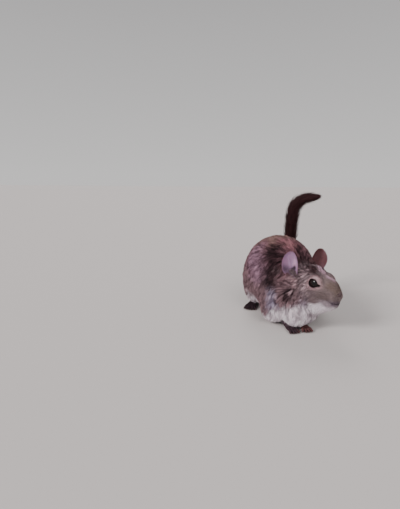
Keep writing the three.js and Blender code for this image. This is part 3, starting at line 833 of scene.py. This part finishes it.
def spread_roots(density):
    """Places spread over the skin, and its normals there; 'density' gives how many to a square millimetre."""
    corners = vertices[triangles]
    area = 0.5 * np.linalg.norm(triangle_normals(vertices, triangles), axis=1)
    count = np.floor(area * density(corners.mean(1)) + rng.random(len(area))).astype(int)
    owner = np.repeat(np.arange(len(corners)), count)
    a, b = rng.random(len(owner)), rng.random(len(owner))
    flip = a + b > 1
    a[flip], b[flip] = 1 - a[flip], 1 - b[flip]
    weights = np.stack([1 - a - b, a, b], 1)[:, :, None]
    return (corners[owner] * weights).sum(1), unit((skin_normals[triangles[owner]] * weights).sum(1))


def grown(density):
    """Roots of hair, the skin's normals there, and how much they belong to the head."""
    roots, facing = spread_roots(density)
    keep = ~bare(roots, facing)
    return roots[keep], facing[keep], coat(roots)[1][keep]


def lie_of_coat(points, normals, headness):
    """The direction in which the coat lies: away from the nose, and down as well where it isn't on top."""
    forward = head_axes(points)[:, 0]
    neck = 1 - ramp(points[:, 1], -30, -5)
    steep = mix(mix(1.0, 3.8, neck), 0.15, ramp(normals[:, 2], 0.35, 0.8))
    face = headness * ramp(forward, -12, 3)
    flow = unit(points - NOSE_TIP) - mix(steep, 0.2, face)[:, None] * UP
    breast = ramp(-points[:, 1], 38, 52) * ramp(-points[:, 2], -32, -22) * (1 - headness)
    flow = mix(flow, np.array([-0.1, 0.25, -1.2]), breast[:, None])
    low = 1 - ramp(limbs(points), 0.5, 2.5)
    foot = low * ramp(-points[:, 2], -7, -4)
    flow = mix(flow, np.array([0.0, -0.2, -1.0]), (low * (1 - foot))[:, None])
    flow = mix(flow, np.array([0.2, -1.0, -0.2]), foot[:, None])
    return unit(flat(flow, normals))


def shown_colours(roots, facing, headness, lengths):
    """The coat's colour where each tuft shows, nearer its tip than its root."""
    return marking(roots + lie_of_coat(roots, facing, headness) * (SEEN_AT * lengths)[:, None], facing)


def cells_of(points):
    return np.floor(points / LOCK_CELL).astype(np.int64)


def cell_keys(cells):
    return ((cells[:, 0] + 99) * 999 + cells[:, 1] + 99) * 999 + cells[:, 2] + 99


class Locks:
    """Seeds spread over the skin, to which tufts gather; each has its own tone, bend, lift and length."""

    def __init__(self, density):
        spots, facing = spread_roots(density)
        keys = cell_keys(cells_of(spots))
        order = np.argsort(keys, kind="stable")
        self.keys, self.at, facing = keys[order], spots[order], facing[order]
        count = len(order)
        self.flow = lie_of_coat(self.at, facing, coat(self.at)[1])
        self.flow = turned(self.flow, facing, rng.normal(0, 0.2, count) + 0.22 * waves(self.at, 17, 9))
        self.tone = np.clip(0.5 + 0.36 * rng.normal(0, 1, count) + 0.2 * waves(self.at, 7, 12), 0, 1)
        self.lift, self.reach = rng.normal(0, 1, count), rng.uniform(0.75, 1.2, count)

    def owners(self, points):
        """For each point the lock that it belongs to, and how far it is from the edge between two locks."""
        first, second = np.full(len(points), 8.0), np.full(len(points), 9.0)
        owner, cells = np.zeros(len(points), int), cells_of(points)
        for shift in np.ndindex(3, 3, 3):
            wanted = cell_keys(cells + np.array(shift) - 1)
            start = np.searchsorted(self.keys, wanted)
            stop = np.searchsorted(self.keys, wanted, side="right")
            for step in range((stop - start).max()):
                rows = np.nonzero(start + step < stop)[0]
                seed = start[rows] + step
                offset = points[rows] - self.at[seed]
                along = (offset * self.flow[seed]).sum(1)
                gap = np.sqrt(np.maximum((offset ** 2).sum(1) - along ** 2 * (1 - LOCK_STRETCH ** 2), 0))
                closer = gap < first[rows]
                second[rows] = np.where(closer, first[rows], np.minimum(second[rows], gap))
                owner[rows[closer]] = seed[closer]
                first[rows] = np.minimum(first[rows], gap)
        return owner, second - first


def unwrapped(points, start, end, radius):
    """Places on an unwrap of the skin round a line inside it, 0 to 1."""
    length = np.linalg.norm(end - start)
    axis = (end - start) / length
    across = unit(np.cross(axis, UP))
    offset = points - start
    along, x, y = offset @ axis, offset @ across, offset @ np.cross(across, axis)
    on_line = np.clip(along, 0, length)
    v = on_line + radius * (np.arctan2(along - on_line, np.hypot(x, y)) + math.pi / 2)
    return np.stack([np.arctan2(x, -y) / (2 * math.pi) + 0.5, v / (length + math.pi * radius)], 1)


def hair_piece(name, points, colours, places, material):
    """Flat tapering strips: points and colours are a pair at each level of a strip and one at its tip."""
    count, per = points.shape[:2]
    points[:, :, 2] = np.maximum(points[:, :, 2], FLOOR_GAP)
    corners = []
    for a in range(0, per - 3, 2):
        corners += [(a, a + 1, a + 3), (a, a + 3, a + 2)]
    corners.append((per - 3, per - 2, per - 1))
    base = np.arange(count)[:, None] * per
    faces = np.concatenate([base + np.array(corner) for corner in corners])
    # on the unwrap a strip is a small patch at its root's place
    levels = per // 2
    patch = [(side, level / levels - 0.5) for level in range(levels) for side in (-0.5, 0.5)] + [(0, 0.5)]
    uv = np.clip(places[:, None, :] + TUFT_PATCH * np.array(patch), 0.0005, 0.9995)
    piece(name, points.reshape(-1, 3), faces, colours.reshape(-1, 3), material, uv.reshape(-1, 2))


def tufts(name, chosen, look, line):
    """Strips that rise from the skin to the coat's surface and meet at the tips of their locks."""
    roots, normals, lengths, widths, depth, colours, contrast = (values[chosen] for values in look["arrays"])
    locks, count = look["locks"], len(roots)
    owner, edge = locks.owners(roots)
    flow = turned(unit(flat(locks.flow[owner], normals)), normals, rng.normal(0, 0.1, count))
    side = turned(unit(np.cross(normals, flow)), flow, rng.normal(0, 0.4, count))
    offset = flat(locks.at[owner] - roots, normals)
    ahead = (offset * flow).sum(1)
    toward = offset - flow * ahead[:, None]
    lengths = lengths * locks.reach[owner] * 0.45 + np.clip(ahead + lengths * 0.55, lengths * 0.25, lengths)
    core = ramp(edge, 0.0, look["edge"])
    lift = look["lift"] * locks.lift[owner] + look["stray"] * rng.normal(0, 1, count)
    points, shares = [], np.linspace(0, 1, look["levels"] + 1)
    for share in shares:
        middle = roots + flow * (lengths * share)[:, None] + toward * (GATHER * share ** 1.3)
        if share > 0:
            value, slope = slope_of(coat_distance, middle)
            rise = -depth * ((1 - share) ** 1.6 + 0.3 * (1 - core)) + lift * share * share
            limit = lengths * share * 0.75
            middle = middle + unit(slope) * np.clip(rise - value, -limit, limit)[:, None]
        else:
            middle = middle - normals * ROOT_SINK
        wide = side * (widths * (1 - 0.75 * share ** 1.5))[:, None]
        points += [middle - wide, middle + wide] if share < 1 else [middle]
    tone = np.clip(0.5 + contrast * (0.62 * locks.tone[owner] + 0.38 * rng.random(count) - 0.5), 0, 1)
    tint = mix(DARK_TINT, LIGHT_TINT, tone[:, None]) * (0.85 + 0.3 * rng.random(count))[:, None]
    # Painted shade: tufts are darker near the edges between locks, where the coat parts
    tint = tint * mix(1 - 0.32 * contrast, 1 + 0.05 * contrast, core)[:, None]
    # Darker toward the root: the hair's own dark base, and painted shade deep in the coat
    root_pigment_and_shade = np.interp(shares, [0, 0.45, 0.8, 1], [0.3, 0.8, 1.15, 1.05])
    steps = 1 + (root_pigment_and_shade - 1) * mix(0.45, 1.0, contrast)[:, None]
    painted = (colours * tint)[:, None, :] * np.repeat(steps, 2, axis=1)[:, :-1, None]
    places = unwrapped(roots, *UNWRAPS[line])
    hair_piece(name, np.stack(points, 1), np.minimum(painted, 0.9), places, FUR_LOOK)


def coat_pieces(parts, left, look, line):
    """Each part of a coat as a left and a right piece."""
    for part, chosen in parts.items():
        tufts(f"coat_{part}_left", chosen & left, look, line)
        tufts(f"coat_{part}_right", chosen & ~left, look, line)


# Long coat on the trunk and neck, and where its pieces part
RUMP_STARTS = 22
CHEST_STARTS = -22
BACK_STARTS = 42
TRUNK_MIDDLE = -6


def trunk_density(points):
    return TRUNK_TUFTS * (1 - ramp(coat(points)[1], 0.35, 0.75)) * on_body(points)


def trunk_locks(points):
    return TRUNK_LOCKS * (coat(points)[1] < 0.8) * on_body(points)


roots, facing, headness = grown(trunk_density)
x, y, z = roots.T
bib = ramp(-y, 36, 48) * ramp(-z, -30, -20)
ruff = ramp(-y, 34, 46) * ramp(z, 14, 22) * ramp(x, -13, -5)
lengths = mix(8.5, 5.5, headness) * (1 + 0.25 * bib) * rng.uniform(0.85, 1.15, len(roots))
colours = shown_colours(roots, facing, headness, lengths)
contrast = (1 - 0.6 * ramp(colours.mean(1), 0.3, 0.6)) * (1 + 0.4 * ruff)
widths = rng.uniform(0.16, 0.3, len(roots))
trunk = {
    "arrays": [roots, facing, lengths, widths, coat_depth(roots, headness), colours, contrast],
    "levels": 3, "edge": 0.5, "lift": 0.22, "stray": 0.22, "locks": Locks(trunk_locks),
}
rear, front, top = y > RUMP_STARTS, y < CHEST_STARTS, z > BACK_STARTS
middle = ~rear & ~front
parts = {"rump": rear, "chest": front, "back": middle & top, "flank": middle & ~top}
coat_pieces(parts, x > TRUNK_MIDDLE, trunk, "trunk")


# Short coat on the head
FACE_STARTS = -6


def head_density(points):
    tufts_there = mix(*HEAD_TUFTS, ramp(head_axes(points)[:, 0], -4, 10))
    return tufts_there * ramp(coat(points)[1], 0.25, 0.6) * on_body(points)


def head_locks(points):
    locks_there = mix(*HEAD_LOCKS, ramp(head_axes(points)[:, 0], -4, 8))
    return locks_there * (coat(points)[1] > 0.15) * on_body(points)


roots, facing, headness = grown(head_density)
forward, aside, _ = head_axes(roots).T
short = ramp(forward, -16, 12)
near_eye = 1 - ramp(eye_edge(roots), 0.3, 3.0)
lengths = mix(mix(6.0, 4.2, ramp(headness, 0.4, 1)), 1.5, short)
lengths = lengths * (1 - 0.45 * near_eye) * rng.uniform(0.85, 1.15, len(roots))
colours = shown_colours(roots, facing, headness, lengths)
smooth = np.maximum(ramp(forward, -5, 6), 0.8 * ramp(colours.mean(1), 0.3, 0.6))
widths = mix(0.17, 0.1, short) * rng.uniform(0.75, 1.2, len(roots))
head = {
    "arrays": [roots, facing, lengths, widths, coat_depth(roots, headness), colours, mix(1.0, 0.28, smooth)],
    "levels": 2, "edge": 0.35, "lift": 0.1, "stray": 0.08, "locks": Locks(head_locks),
}
on_face = forward > FACE_STARTS
coat_pieces({"face": on_face, "head": ~on_face}, aside > 0, head, "head")


# Very short coat on legs and feet, lying close to their own surface
def limb_density(points):
    return LEG_TUFTS * ((limbs(points) < 1.4) & (points[:, 2] < 13))


roots, facing, _ = grown(limb_density)
count = len(roots)
flow = lie_of_coat(roots, facing, np.zeros(count))
lengths = mix(1.1, 3.0, ramp(roots[:, 2], 2, 11)) * rng.uniform(0.75, 1.2, count)
side = turned(unit(np.cross(facing, flow)), flow, rng.normal(0, 0.5, count))
side = side * (0.12 * rng.uniform(0.8, 1.2, count))[:, None]
low = roots - facing * 0.15
middle = roots + flow * (lengths * 0.5)[:, None] + facing * 0.28
tips = roots + flow * lengths[:, None] + facing * 0.32
points = np.stack([low - side, low + side, middle - side * 0.7, middle + side * 0.7, tips], 1)
# Darker toward the root: the hair's own dark base, and painted shade deep in the coat
shades = np.array([0.6, 0.6, 1, 1, 1.1])[:, None] * rng.uniform(0.8, 1.2, (count, 1, 1))
painted = marking(roots, facing)[:, None, :] * shades
hair_piece("coat_legs", points, painted, unwrapped(roots, *UNWRAPS["trunk"]), FUR_LOOK)

# Tail: short hair at its root, then long dark locks to the tip
TAIL_LEVELS = 4
WILD_SHARE = 0.16  # how many of the tail's hairs stand out past the brush


def tail_hair(name, count, start, end, lengths, reaches, width):
    """Hairs between two shares of the tail's length; lengths and reaches are tables over that part."""
    share = rng.uniform(start, end, count)
    around = rng.uniform(0, 2 * math.pi, count)
    place = np.clip((share - start) / (end - start), 0, 1)
    length = np.interp(place, *lengths) * rng.uniform(0.7, 1.2, count)
    wild = rng.random(count) < WILD_SHARE
    spread = np.where(wild, rng.uniform(1.0, 1.45, count), rng.uniform(0.5, 1.03, count))
    reach = np.interp(place, *reaches) * spread
    lean, roll = rng.normal(0, 0.06, count), rng.normal(0, 0.5, count)
    points, low = [], stem_radius(share) * 0.8
    for step in np.arange(TAIL_LEVELS + 1) / TAIL_LEVELS:
        rise = mix(low, reach, np.sin(step * 1.45))
        bent = around + lean * step * TAIL_LEVELS
        centre, out, along = beside_tail(share + step * length / TAIL_LENGTH, bent, rise)
        wide = turned(unit(np.cross(along, out)), along, roll) * (width * (1 - 0.75 * step ** 1.6))
        points += [centre - wide, centre + wide] if step < 1 else [centre]
    height = beside_tail(share, around, low)[0][:, 2]
    colour = layered(BACK, (BRUSH, ramp(height, *TAIL_DARKENS)))
    # Darker toward the root: the hair's own dark base, and painted shade deep in the coat
    shades = np.append(np.repeat(mix(0.6, 1.0, np.arange(TAIL_LEVELS) / TAIL_LEVELS), 2), 1.1)
    painted = colour[:, None, :] * shades[:, None] * rng.uniform(0.6, 1.6, (count, 1, 1))
    uv = np.stack([(around / (2 * math.pi)) % 1, share], 1)
    hair_piece(name, np.stack(points, 1), painted, uv, BRUSH_LOOK)


root = ([0, 0.5, 1], [4.2, 4.2, 5.2])
brush = ([0, 0.6, 0.85, 1], [BRUSH_REACH, BRUSH_REACH, BRUSH_REACH * 0.7, BRUSH_REACH * 0.3])
tail_hair("coat_tail_root", 3500, 0.15, 0.36, ([0, 1], [5, 9]), root, 0.22)
tail_hair("coat_tail_brush", 11000, 0.3, 0.93, ([0, 0.75, 1], [15, 15, 11]), brush, 0.26)


def sphere(rings, sides):
    """A ball's points as angles from its first pole and turns about its axis, and its triangles."""
    polar = np.linspace(0, math.pi, rings + 1)
    polar = np.concatenate([polar[:1], np.repeat(polar[1:-1], sides), polar[-1:]])
    turn = np.concatenate([[0], np.tile(np.arange(sides) * 2 * math.pi / sides, rings - 1), [0]])
    faces, last = [], 1 + (rings - 2) * sides
    for j in range(sides):
        k = (j + 1) % sides
        faces += [(0, 1 + j, 1 + k), (last + sides, last + k, last + j)]
        for a in range(1, last, sides):
            faces += [(a + j, a + j + sides, a + k + sides), (a + j, a + k + sides, a + k)]
    return polar, turn, np.array(faces)


# Eyes
PUPIL = srgb(0.02, 0.01, 0.012)
IRIS = srgb(0.09, 0.045, 0.045)


def ball(side, label):
    polar, turn, faces = sphere(40, 64)
    gaze = unit(FORWARD * 0.45 + LEFT * side + UP * 0.12)
    across = unit(np.cross(gaze, UP))
    points = np.outer(np.cos(polar), gaze) + np.outer(np.sin(polar) * np.cos(turn), across)
    points = EYE_RADIUS * (points + np.outer(np.sin(polar) * np.sin(turn), np.cross(across, gaze)))
    iris = ramp(polar, 0.45, 0.55) * (1 - ramp(polar, 1.0, 1.15))
    centre = in_head(EYE_AT[0], side * EYE_AT[1], EYE_AT[2])
    made = piece("eyeball_" + label, points + centre, faces, layered(PUPIL, (IRIS, iris)), EYE_LOOK)
    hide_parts("eye_" + label)


for side, label in SIDES:
    ball(side, label)

# Ears: thin cups with folds inside; the left one is painted darker, as painted shade
# Each table gives the right ear's colour (-1), then the left's (1); the left's darker colours are painted
# shade
EAR_INSIDE = {-1: srgb(0.67, 0.53, 0.66), 1: srgb(0.36, 0.20, 0.22)}
# Painted highlight inside each ear, high on its front half
EAR_HIGHLIGHT = {-1: srgb(0.84, 0.68, 0.80), 1: srgb(0.42, 0.27, 0.29)}
EAR_LOW = {-1: srgb(0.36, 0.28, 0.36), 1: srgb(0.40, 0.28, 0.31)}
EAR_RIM = {-1: srgb(0.60, 0.46, 0.56), 1: srgb(0.45, 0.31, 0.34)}
EAR_HAIR = {-1: srgb(0.68, 0.56, 0.66), 1: srgb(0.42, 0.28, 0.30)}
EAR_FRONT_HAIR = {-1: srgb(0.66, 0.58, 0.60), 1: srgb(0.46, 0.34, 0.35)}
EAR_FOLD_SHADE = srgb(0.12, 0.07, 0.11)
# Painted highlight on the left ear's lower rim
EAR_LOW_RIM_HIGHLIGHT = srgb(0.66, 0.50, 0.54)
EAR_BACK = srgb(0.34, 0.24, 0.26)
EAR_BACK_HAIR = srgb(0.42, 0.32, 0.33)
# Where shade is painted inside the ear, along the fold down its front edge: toward the front, up
EAR_NOTCH = [(0.42, -0.26, 0), (0.05, -0.5, 0), (0.45, -0.62, 0), (0.5, -0.95, 0)]
FRONT_HAIRS = 420  # how many hairs grow in front of an ear
TRIES = 40000  # how many places are tried for their roots
CUP_DEPTH = 5.5


def fullness(up):
    return 1 + 0.3 * ramp(-up, 0.2, 1)


def on_ear(side, across, up, above):
    """Places at an ear: across and up, -1 to 1 over its cup, and above the cup's middle layer."""
    mirror = np.array([1, side, 1])
    rise = unit(mirror * EARS[side]["rise"])
    facing = mirror * EARS[side]["facing"]
    facing = unit(facing - rise * (facing @ rise))
    local = mirror * EARS[side]["root"] + rise * EAR_HEIGHT * 0.46
    local = local + np.outer(across * fullness(up) * EAR_WIDTH / 2, np.cross(facing, rise))
    local = local + np.outer(CUP_DEPTH * (across ** 2 + 0.35 * up ** 2) + above, facing)
    local = local + np.outer(up * EAR_HEIGHT / 2, rise)
    turn = np.stack([FORWARD, LEFT, UP])
    return HEAD_AT + local @ turn, rise @ turn, facing @ turn


def ear(side, label):
    # the poles lie on the ear's thin axis, so that the rim is the sphere's equator
    polar, turn, faces = sphere(48, 96)
    out, thick = np.sin(polar) ** 0.8, np.cos(polar)
    across, up = out * np.cos(turn), out * np.sin(turn)
    edge, front = np.hypot(across, up), side * across
    fold = 0.5 * hump(front + 0.25 + 0.35 * up, 0, 0.13)
    ridges = (fold + 0.12 * np.sin(across * 9 + 2.2 * up * side)) * ramp(-edge, -0.85, -0.5)
    relief = (0.25 * hump(edge, 0.93, 0.07) + ridges) * np.maximum(thick, 0) ** 0.4
    curl = 1.3 * ramp(edge, 0.82, 1.0)
    level = np.sign(thick) * np.abs(thick) ** 0.4 * EAR_THICKNESS / 2 + curl * 0.5 + relief
    world, rise, facing = on_ear(side, across, up, level)
    if triangle_normals(world, faces[:1])[0] @ facing < 0:
        faces = faces[:, ::-1]
    place = np.stack([front * fullness(up), up, np.zeros(len(up))], 1)
    # Painted highlight: the left ear's lower rim catching the light
    pale = ramp(edge, 0.7, 0.9) * ramp(-up, 0.25, 0.5) * (0.5 + 0.5 * side)
    pink = layered(
        # painted highlight inside the ear
        EAR_INSIDE[side], (EAR_HIGHLIGHT[side], hump(up, 0.12, 0.35) * hump(front, 0.4, 0.3)),
        (EAR_LOW[side], ramp(-up - 0.3 * front, 0.1, 0.7)),
        # painted shade in the fold inside the ear
        (EAR_FOLD_SHADE, np.exp(-((line_distance(place, EAR_NOTCH) / 0.17) ** 4))),
        (EAR_RIM[side], ramp(edge, 0.86, 0.98) * 0.7), (EAR_LOW_RIM_HIGHLIGHT, 0.8 * pale),
    )
    colours = layered(EAR_BACK, (pink, ramp(thick, -0.1, 0.3)))
    made = piece("ear_shell_" + label, world, faces, colours, EAR_LOOK)
    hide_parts("ear_" + label)
    return world, faces, colours, thick, rise


def ear_places(roots):
    return np.stack([(roots @ FORWARD) / 60 % 1, roots[:, 2] / 100], 1)


for side, label in SIDES:
    world, faces, colours, thick, rise = ear(side, label)
    cross = triangle_normals(world, faces)
    back = thick[faces].mean(1) < 0
    wanted = 0.5 * np.linalg.norm(cross, axis=1) * np.where(back, *EAR_HAIRS)
    number = np.floor(wanted + rng.random(len(faces))).astype(int)
    owner = np.repeat(np.arange(len(faces)), number)
    weights = rng.dirichlet((1, 1, 1), len(owner))
    roots = (world[faces[owner]] * weights[:, :, None]).sum(1)
    facing = unit(cross[owner])
    flow = unit(flat(rise + 0.25 * rng.normal(size=roots.shape), facing))
    lengths = rng.uniform(0.9, 1.6, (len(roots), 1))
    low, wide = roots - facing * 0.05, np.cross(facing, flow) * 0.07
    points = np.stack([low - wide, low + wide, roots + flow * lengths + facing * 0.22], 1)
    inner_hair = mix(colours[faces[owner, 0]], EAR_HAIR[side], 0.5)
    hair = np.where(back[owner][:, None], EAR_BACK_HAIR, inner_hair) * rng.uniform(0.8, 1.15, (len(roots), 1))
    painted = np.repeat(hair[:, None, :], 3, axis=1)
    hair_piece("coat_ear_" + label, points, painted, ear_places(roots), FUR_LOOK)


def curve(a, b, c, s):
    """From a to c, bent toward b."""
    return (1 - s) ** 2 * a + 2 * s * (1 - s) * b + s ** 2 * c


# Short hair that grows in front of each ear and crosses the lower part of its front edge
for side, label in SIDES:
    across, up = rng.uniform(-0.1, 1.0, TRIES), rng.uniform(-1.0, 0.2, TRIES)
    sheet, rise, facing = on_ear(side, side * across, up, rng.uniform(0, 1, TRIES))
    at_coat = (np.abs(coat_distance(sheet)) < 0.7) & (np.hypot(across, up) < 1)
    roots = sheet[at_coat][:FRONT_HAIRS]
    count = len(roots)
    roots = roots + np.outer(rng.uniform(-0.3, 3.2, count), FORWARD)
    for _ in range(2):
        value, slope = slope_of(coat_distance, roots)
        roots = roots - unit(slope) * (value + 0.5)[:, None]
    lean = unit(0.8 * rise - 0.45 * FORWARD + 0.4 * facing + 0.22 * rng.normal(size=(count, 3)))
    length = rng.uniform(2.5, 5.0, (count, 1))
    tips = roots + lean * length
    middle = roots + unit(lean + 0.5 * facing) * length * 0.55
    wide = unit(np.cross(unit(tips - roots), -LEFT * side + 0.3 * rng.normal(size=(count, 3))))
    wide = wide * rng.uniform(0.18, 0.32, (count, 1))
    points = []
    for step in (0, 0.35, 0.7):
        spot, half = curve(roots, middle, tips, step), wide * (1 - 0.5 * step)
        points += [spot - half, spot + half]
    points = np.stack(points + [tips], 1)
    hair = mix(CROWN, EAR_FRONT_HAIR[side], rng.uniform(0.1, 0.9, (count, 1)))
    # Darker toward the root: the hair's own dark base, and painted shade deep in the coat
    shades = np.array([0.45, 0.45, 0.8, 0.8, 1, 1, 1.1])[:, None] * rng.uniform(0.8, 1.2, (count, 1, 1))
    painted = hair[:, None, :] * shades
    hair_piece("coat_ear_front_" + label, points, painted, ear_places(roots), FUR_LOOK)


def rods(name, lines, radii, sides, colour, material):
    """Round rods along lines of points, with a radius at each point, as one piece."""
    lines = np.array(lines)
    along = unit(np.gradient(lines, axis=1))
    across = unit(np.cross(along, UP + 0.01))
    turn = (np.arange(sides) * 2 * math.pi / sides)[:, None]
    ring = np.cos(turn) * across[:, :, None] + np.sin(turn) * np.cross(across, along)[:, :, None]
    rings = (lines[:, :, None] + radii[:, None, None] * ring).reshape(len(lines), -1, 3)
    points = np.concatenate([rings, lines[:, :1], lines[:, -1:]], 1)
    faces, end = [], (len(radii) - 1) * sides
    for j in range(sides):
        k = (j + 1) % sides
        for a in range(0, end, sides):
            faces += [(a + j, a + k, a + k + sides), (a + j, a + k + sides, a + j + sides)]
        faces += [(end + sides, k, j), (end + sides + 1, end + j, end + k)]
    faces = np.array(faces) + (np.arange(len(lines)) * points.shape[1])[:, None, None]
    points = points.reshape(-1, 3)
    piece(name, points, faces.reshape(-1, 3), np.tile(colour, (len(points), 1)), material)


steps = np.linspace(0, 1, 7)
claws = []
for foot in FEET:
    for knuckle, tip, end in foot.claws:
        start = mix(knuckle, tip, 0.75) + 0.25 * UP
        claws.append(curve(start, tip + (end - tip) * 0.3 + 0.45 * UP, end - 0.1 * UP, steps[:, None]))
radii = np.interp(steps, [0, 0.3, 1], [0.45, 0.42, 0.06])
rods("claws", claws, radii, 8, srgb(0.22, 0.17, 0.16), CLAW_LOOK)

steps = np.linspace(0, 1, 9)
s = steps[:, None]
whiskers = []
for mirrored, row, column in np.ndindex(2, 4, 5):
    side = 1 - 2 * mirrored
    place = in_head(16.6 - 1.5 * column - 0.3 * row, side * 3.2, -7.4 - 1.25 * row)
    out = unit(side * LEFT + FORWARD * (0.15 - 0.1 * column) + UP * (0.1 - 0.12 * row))
    root = cast_out(place[None], out[None], -0.8)
    length = (9 + 3.2 * column) * rng.uniform(0.85, 1.1)
    sweep = unit(out - FORWARD * 0.75 + UP * rng.uniform(-0.05, 0.12) + 0.06 * rng.normal(size=3))
    whiskers.append(root + out * length * 0.55 * s * (1 - s) + sweep * length * s - UP * 1.4 * s * s)
radii = np.interp(steps, [0, 1], [0.085, 0.03])
rods("whiskers", whiskers, radii, 3, srgb(0.35, 0.29, 0.28), WHISKER_LOOK)

# Floor, light and camera
pale = bpy.data.materials.new("pale_floor")
pale.use_nodes = True
floor_colour = (*srgb(0.80, 0.78, 0.77), 1)
fill(pale.node_tree, pale.node_tree.nodes["Principled BSDF"], {"Base Color": floor_colour, "Roughness": 0.9})
bpy.ops.mesh.primitive_plane_add(size=8, location=(0, 0, 0))
floor = bpy.context.object
floor.name = "floor"
floor.data.materials.append(pale)

# Suns: which way each one shines, its strength, its width in degrees and its colour
SUNS = {
    "key": ((0.62, 0.6, -0.5), 2.5, 20, (1.0, 0.97, 0.965)),
    "front": ((-0.35, 0.8, -0.6), 1.0, 30, (1.0, 0.97, 0.97)),
    "rim": ((0.2, -0.8, -0.6), 0.9, 25, (1.0, 0.95, 0.96)),
}
for name, (toward, energy, width, colour) in SUNS.items():
    light = bpy.data.lights.new(name, "SUN")
    light.energy = energy
    light.angle = math.radians(width)
    light.color = colour
    made = bpy.data.objects.new(name, light)
    made.rotation_euler = Vector(toward).to_track_quat("-Z", "Y").to_euler()
    bpy.context.scene.collection.objects.link(made)

# A pale room: as bright at the horizon as the floor, a little darker overhead
HORIZON = (0.73, 0.715, 0.71, 1)
OVERHEAD = (0.42, 0.41, 0.415, 1)
world = bpy.data.worlds.new("studio")
world.use_nodes = True
sky = world.node_tree
direction = node(sky, "TexCoord", {})["Generated"]
height = node(sky, "SeparateXYZ", {"Vector": direction})["Z"]
height = node(sky, "MapRange", {"Value": height, "From Min": 0.0, "From Max": 0.5})["Result"]
shade = node(sky, "Mix", {"Factor": height, "A": HORIZON, "B": OVERHEAD}, data_type="RGBA")["Result"]
fill(sky, sky.nodes["Background"], {"Color": shade})
bpy.context.scene.world = world

CAMERA_AT = np.array([0.0, -400.0, 137.0])
LOOK = unit(np.array([-0.218, 0.976, 0.0]))
PITCH = math.radians(11.4)
SENSOR_WIDTH = 36
FOCAL_PIXELS = 400
LONG_SIDE_PIXELS = 509
right = np.array([LOOK[1], -LOOK[0], 0.0])
look = LOOK * math.cos(PITCH) - UP * math.sin(PITCH)
placed = np.eye(4)
placed[:3, :3] = np.stack([right, np.cross(right, look), -look], 1)
placed[:3, 3] = CAMERA_AT * MM + SHIFT
camera_data = bpy.data.cameras.new("camera")
camera_data.sensor_width = SENSOR_WIDTH
camera_data.lens = SENSOR_WIDTH * FOCAL_PIXELS / LONG_SIDE_PIXELS
camera_data.clip_start = 0.01
camera = bpy.data.objects.new("camera", camera_data)
camera.matrix_world = Matrix(placed.tolist())
bpy.context.scene.collection.objects.link(camera)
bpy.context.scene.camera = camera
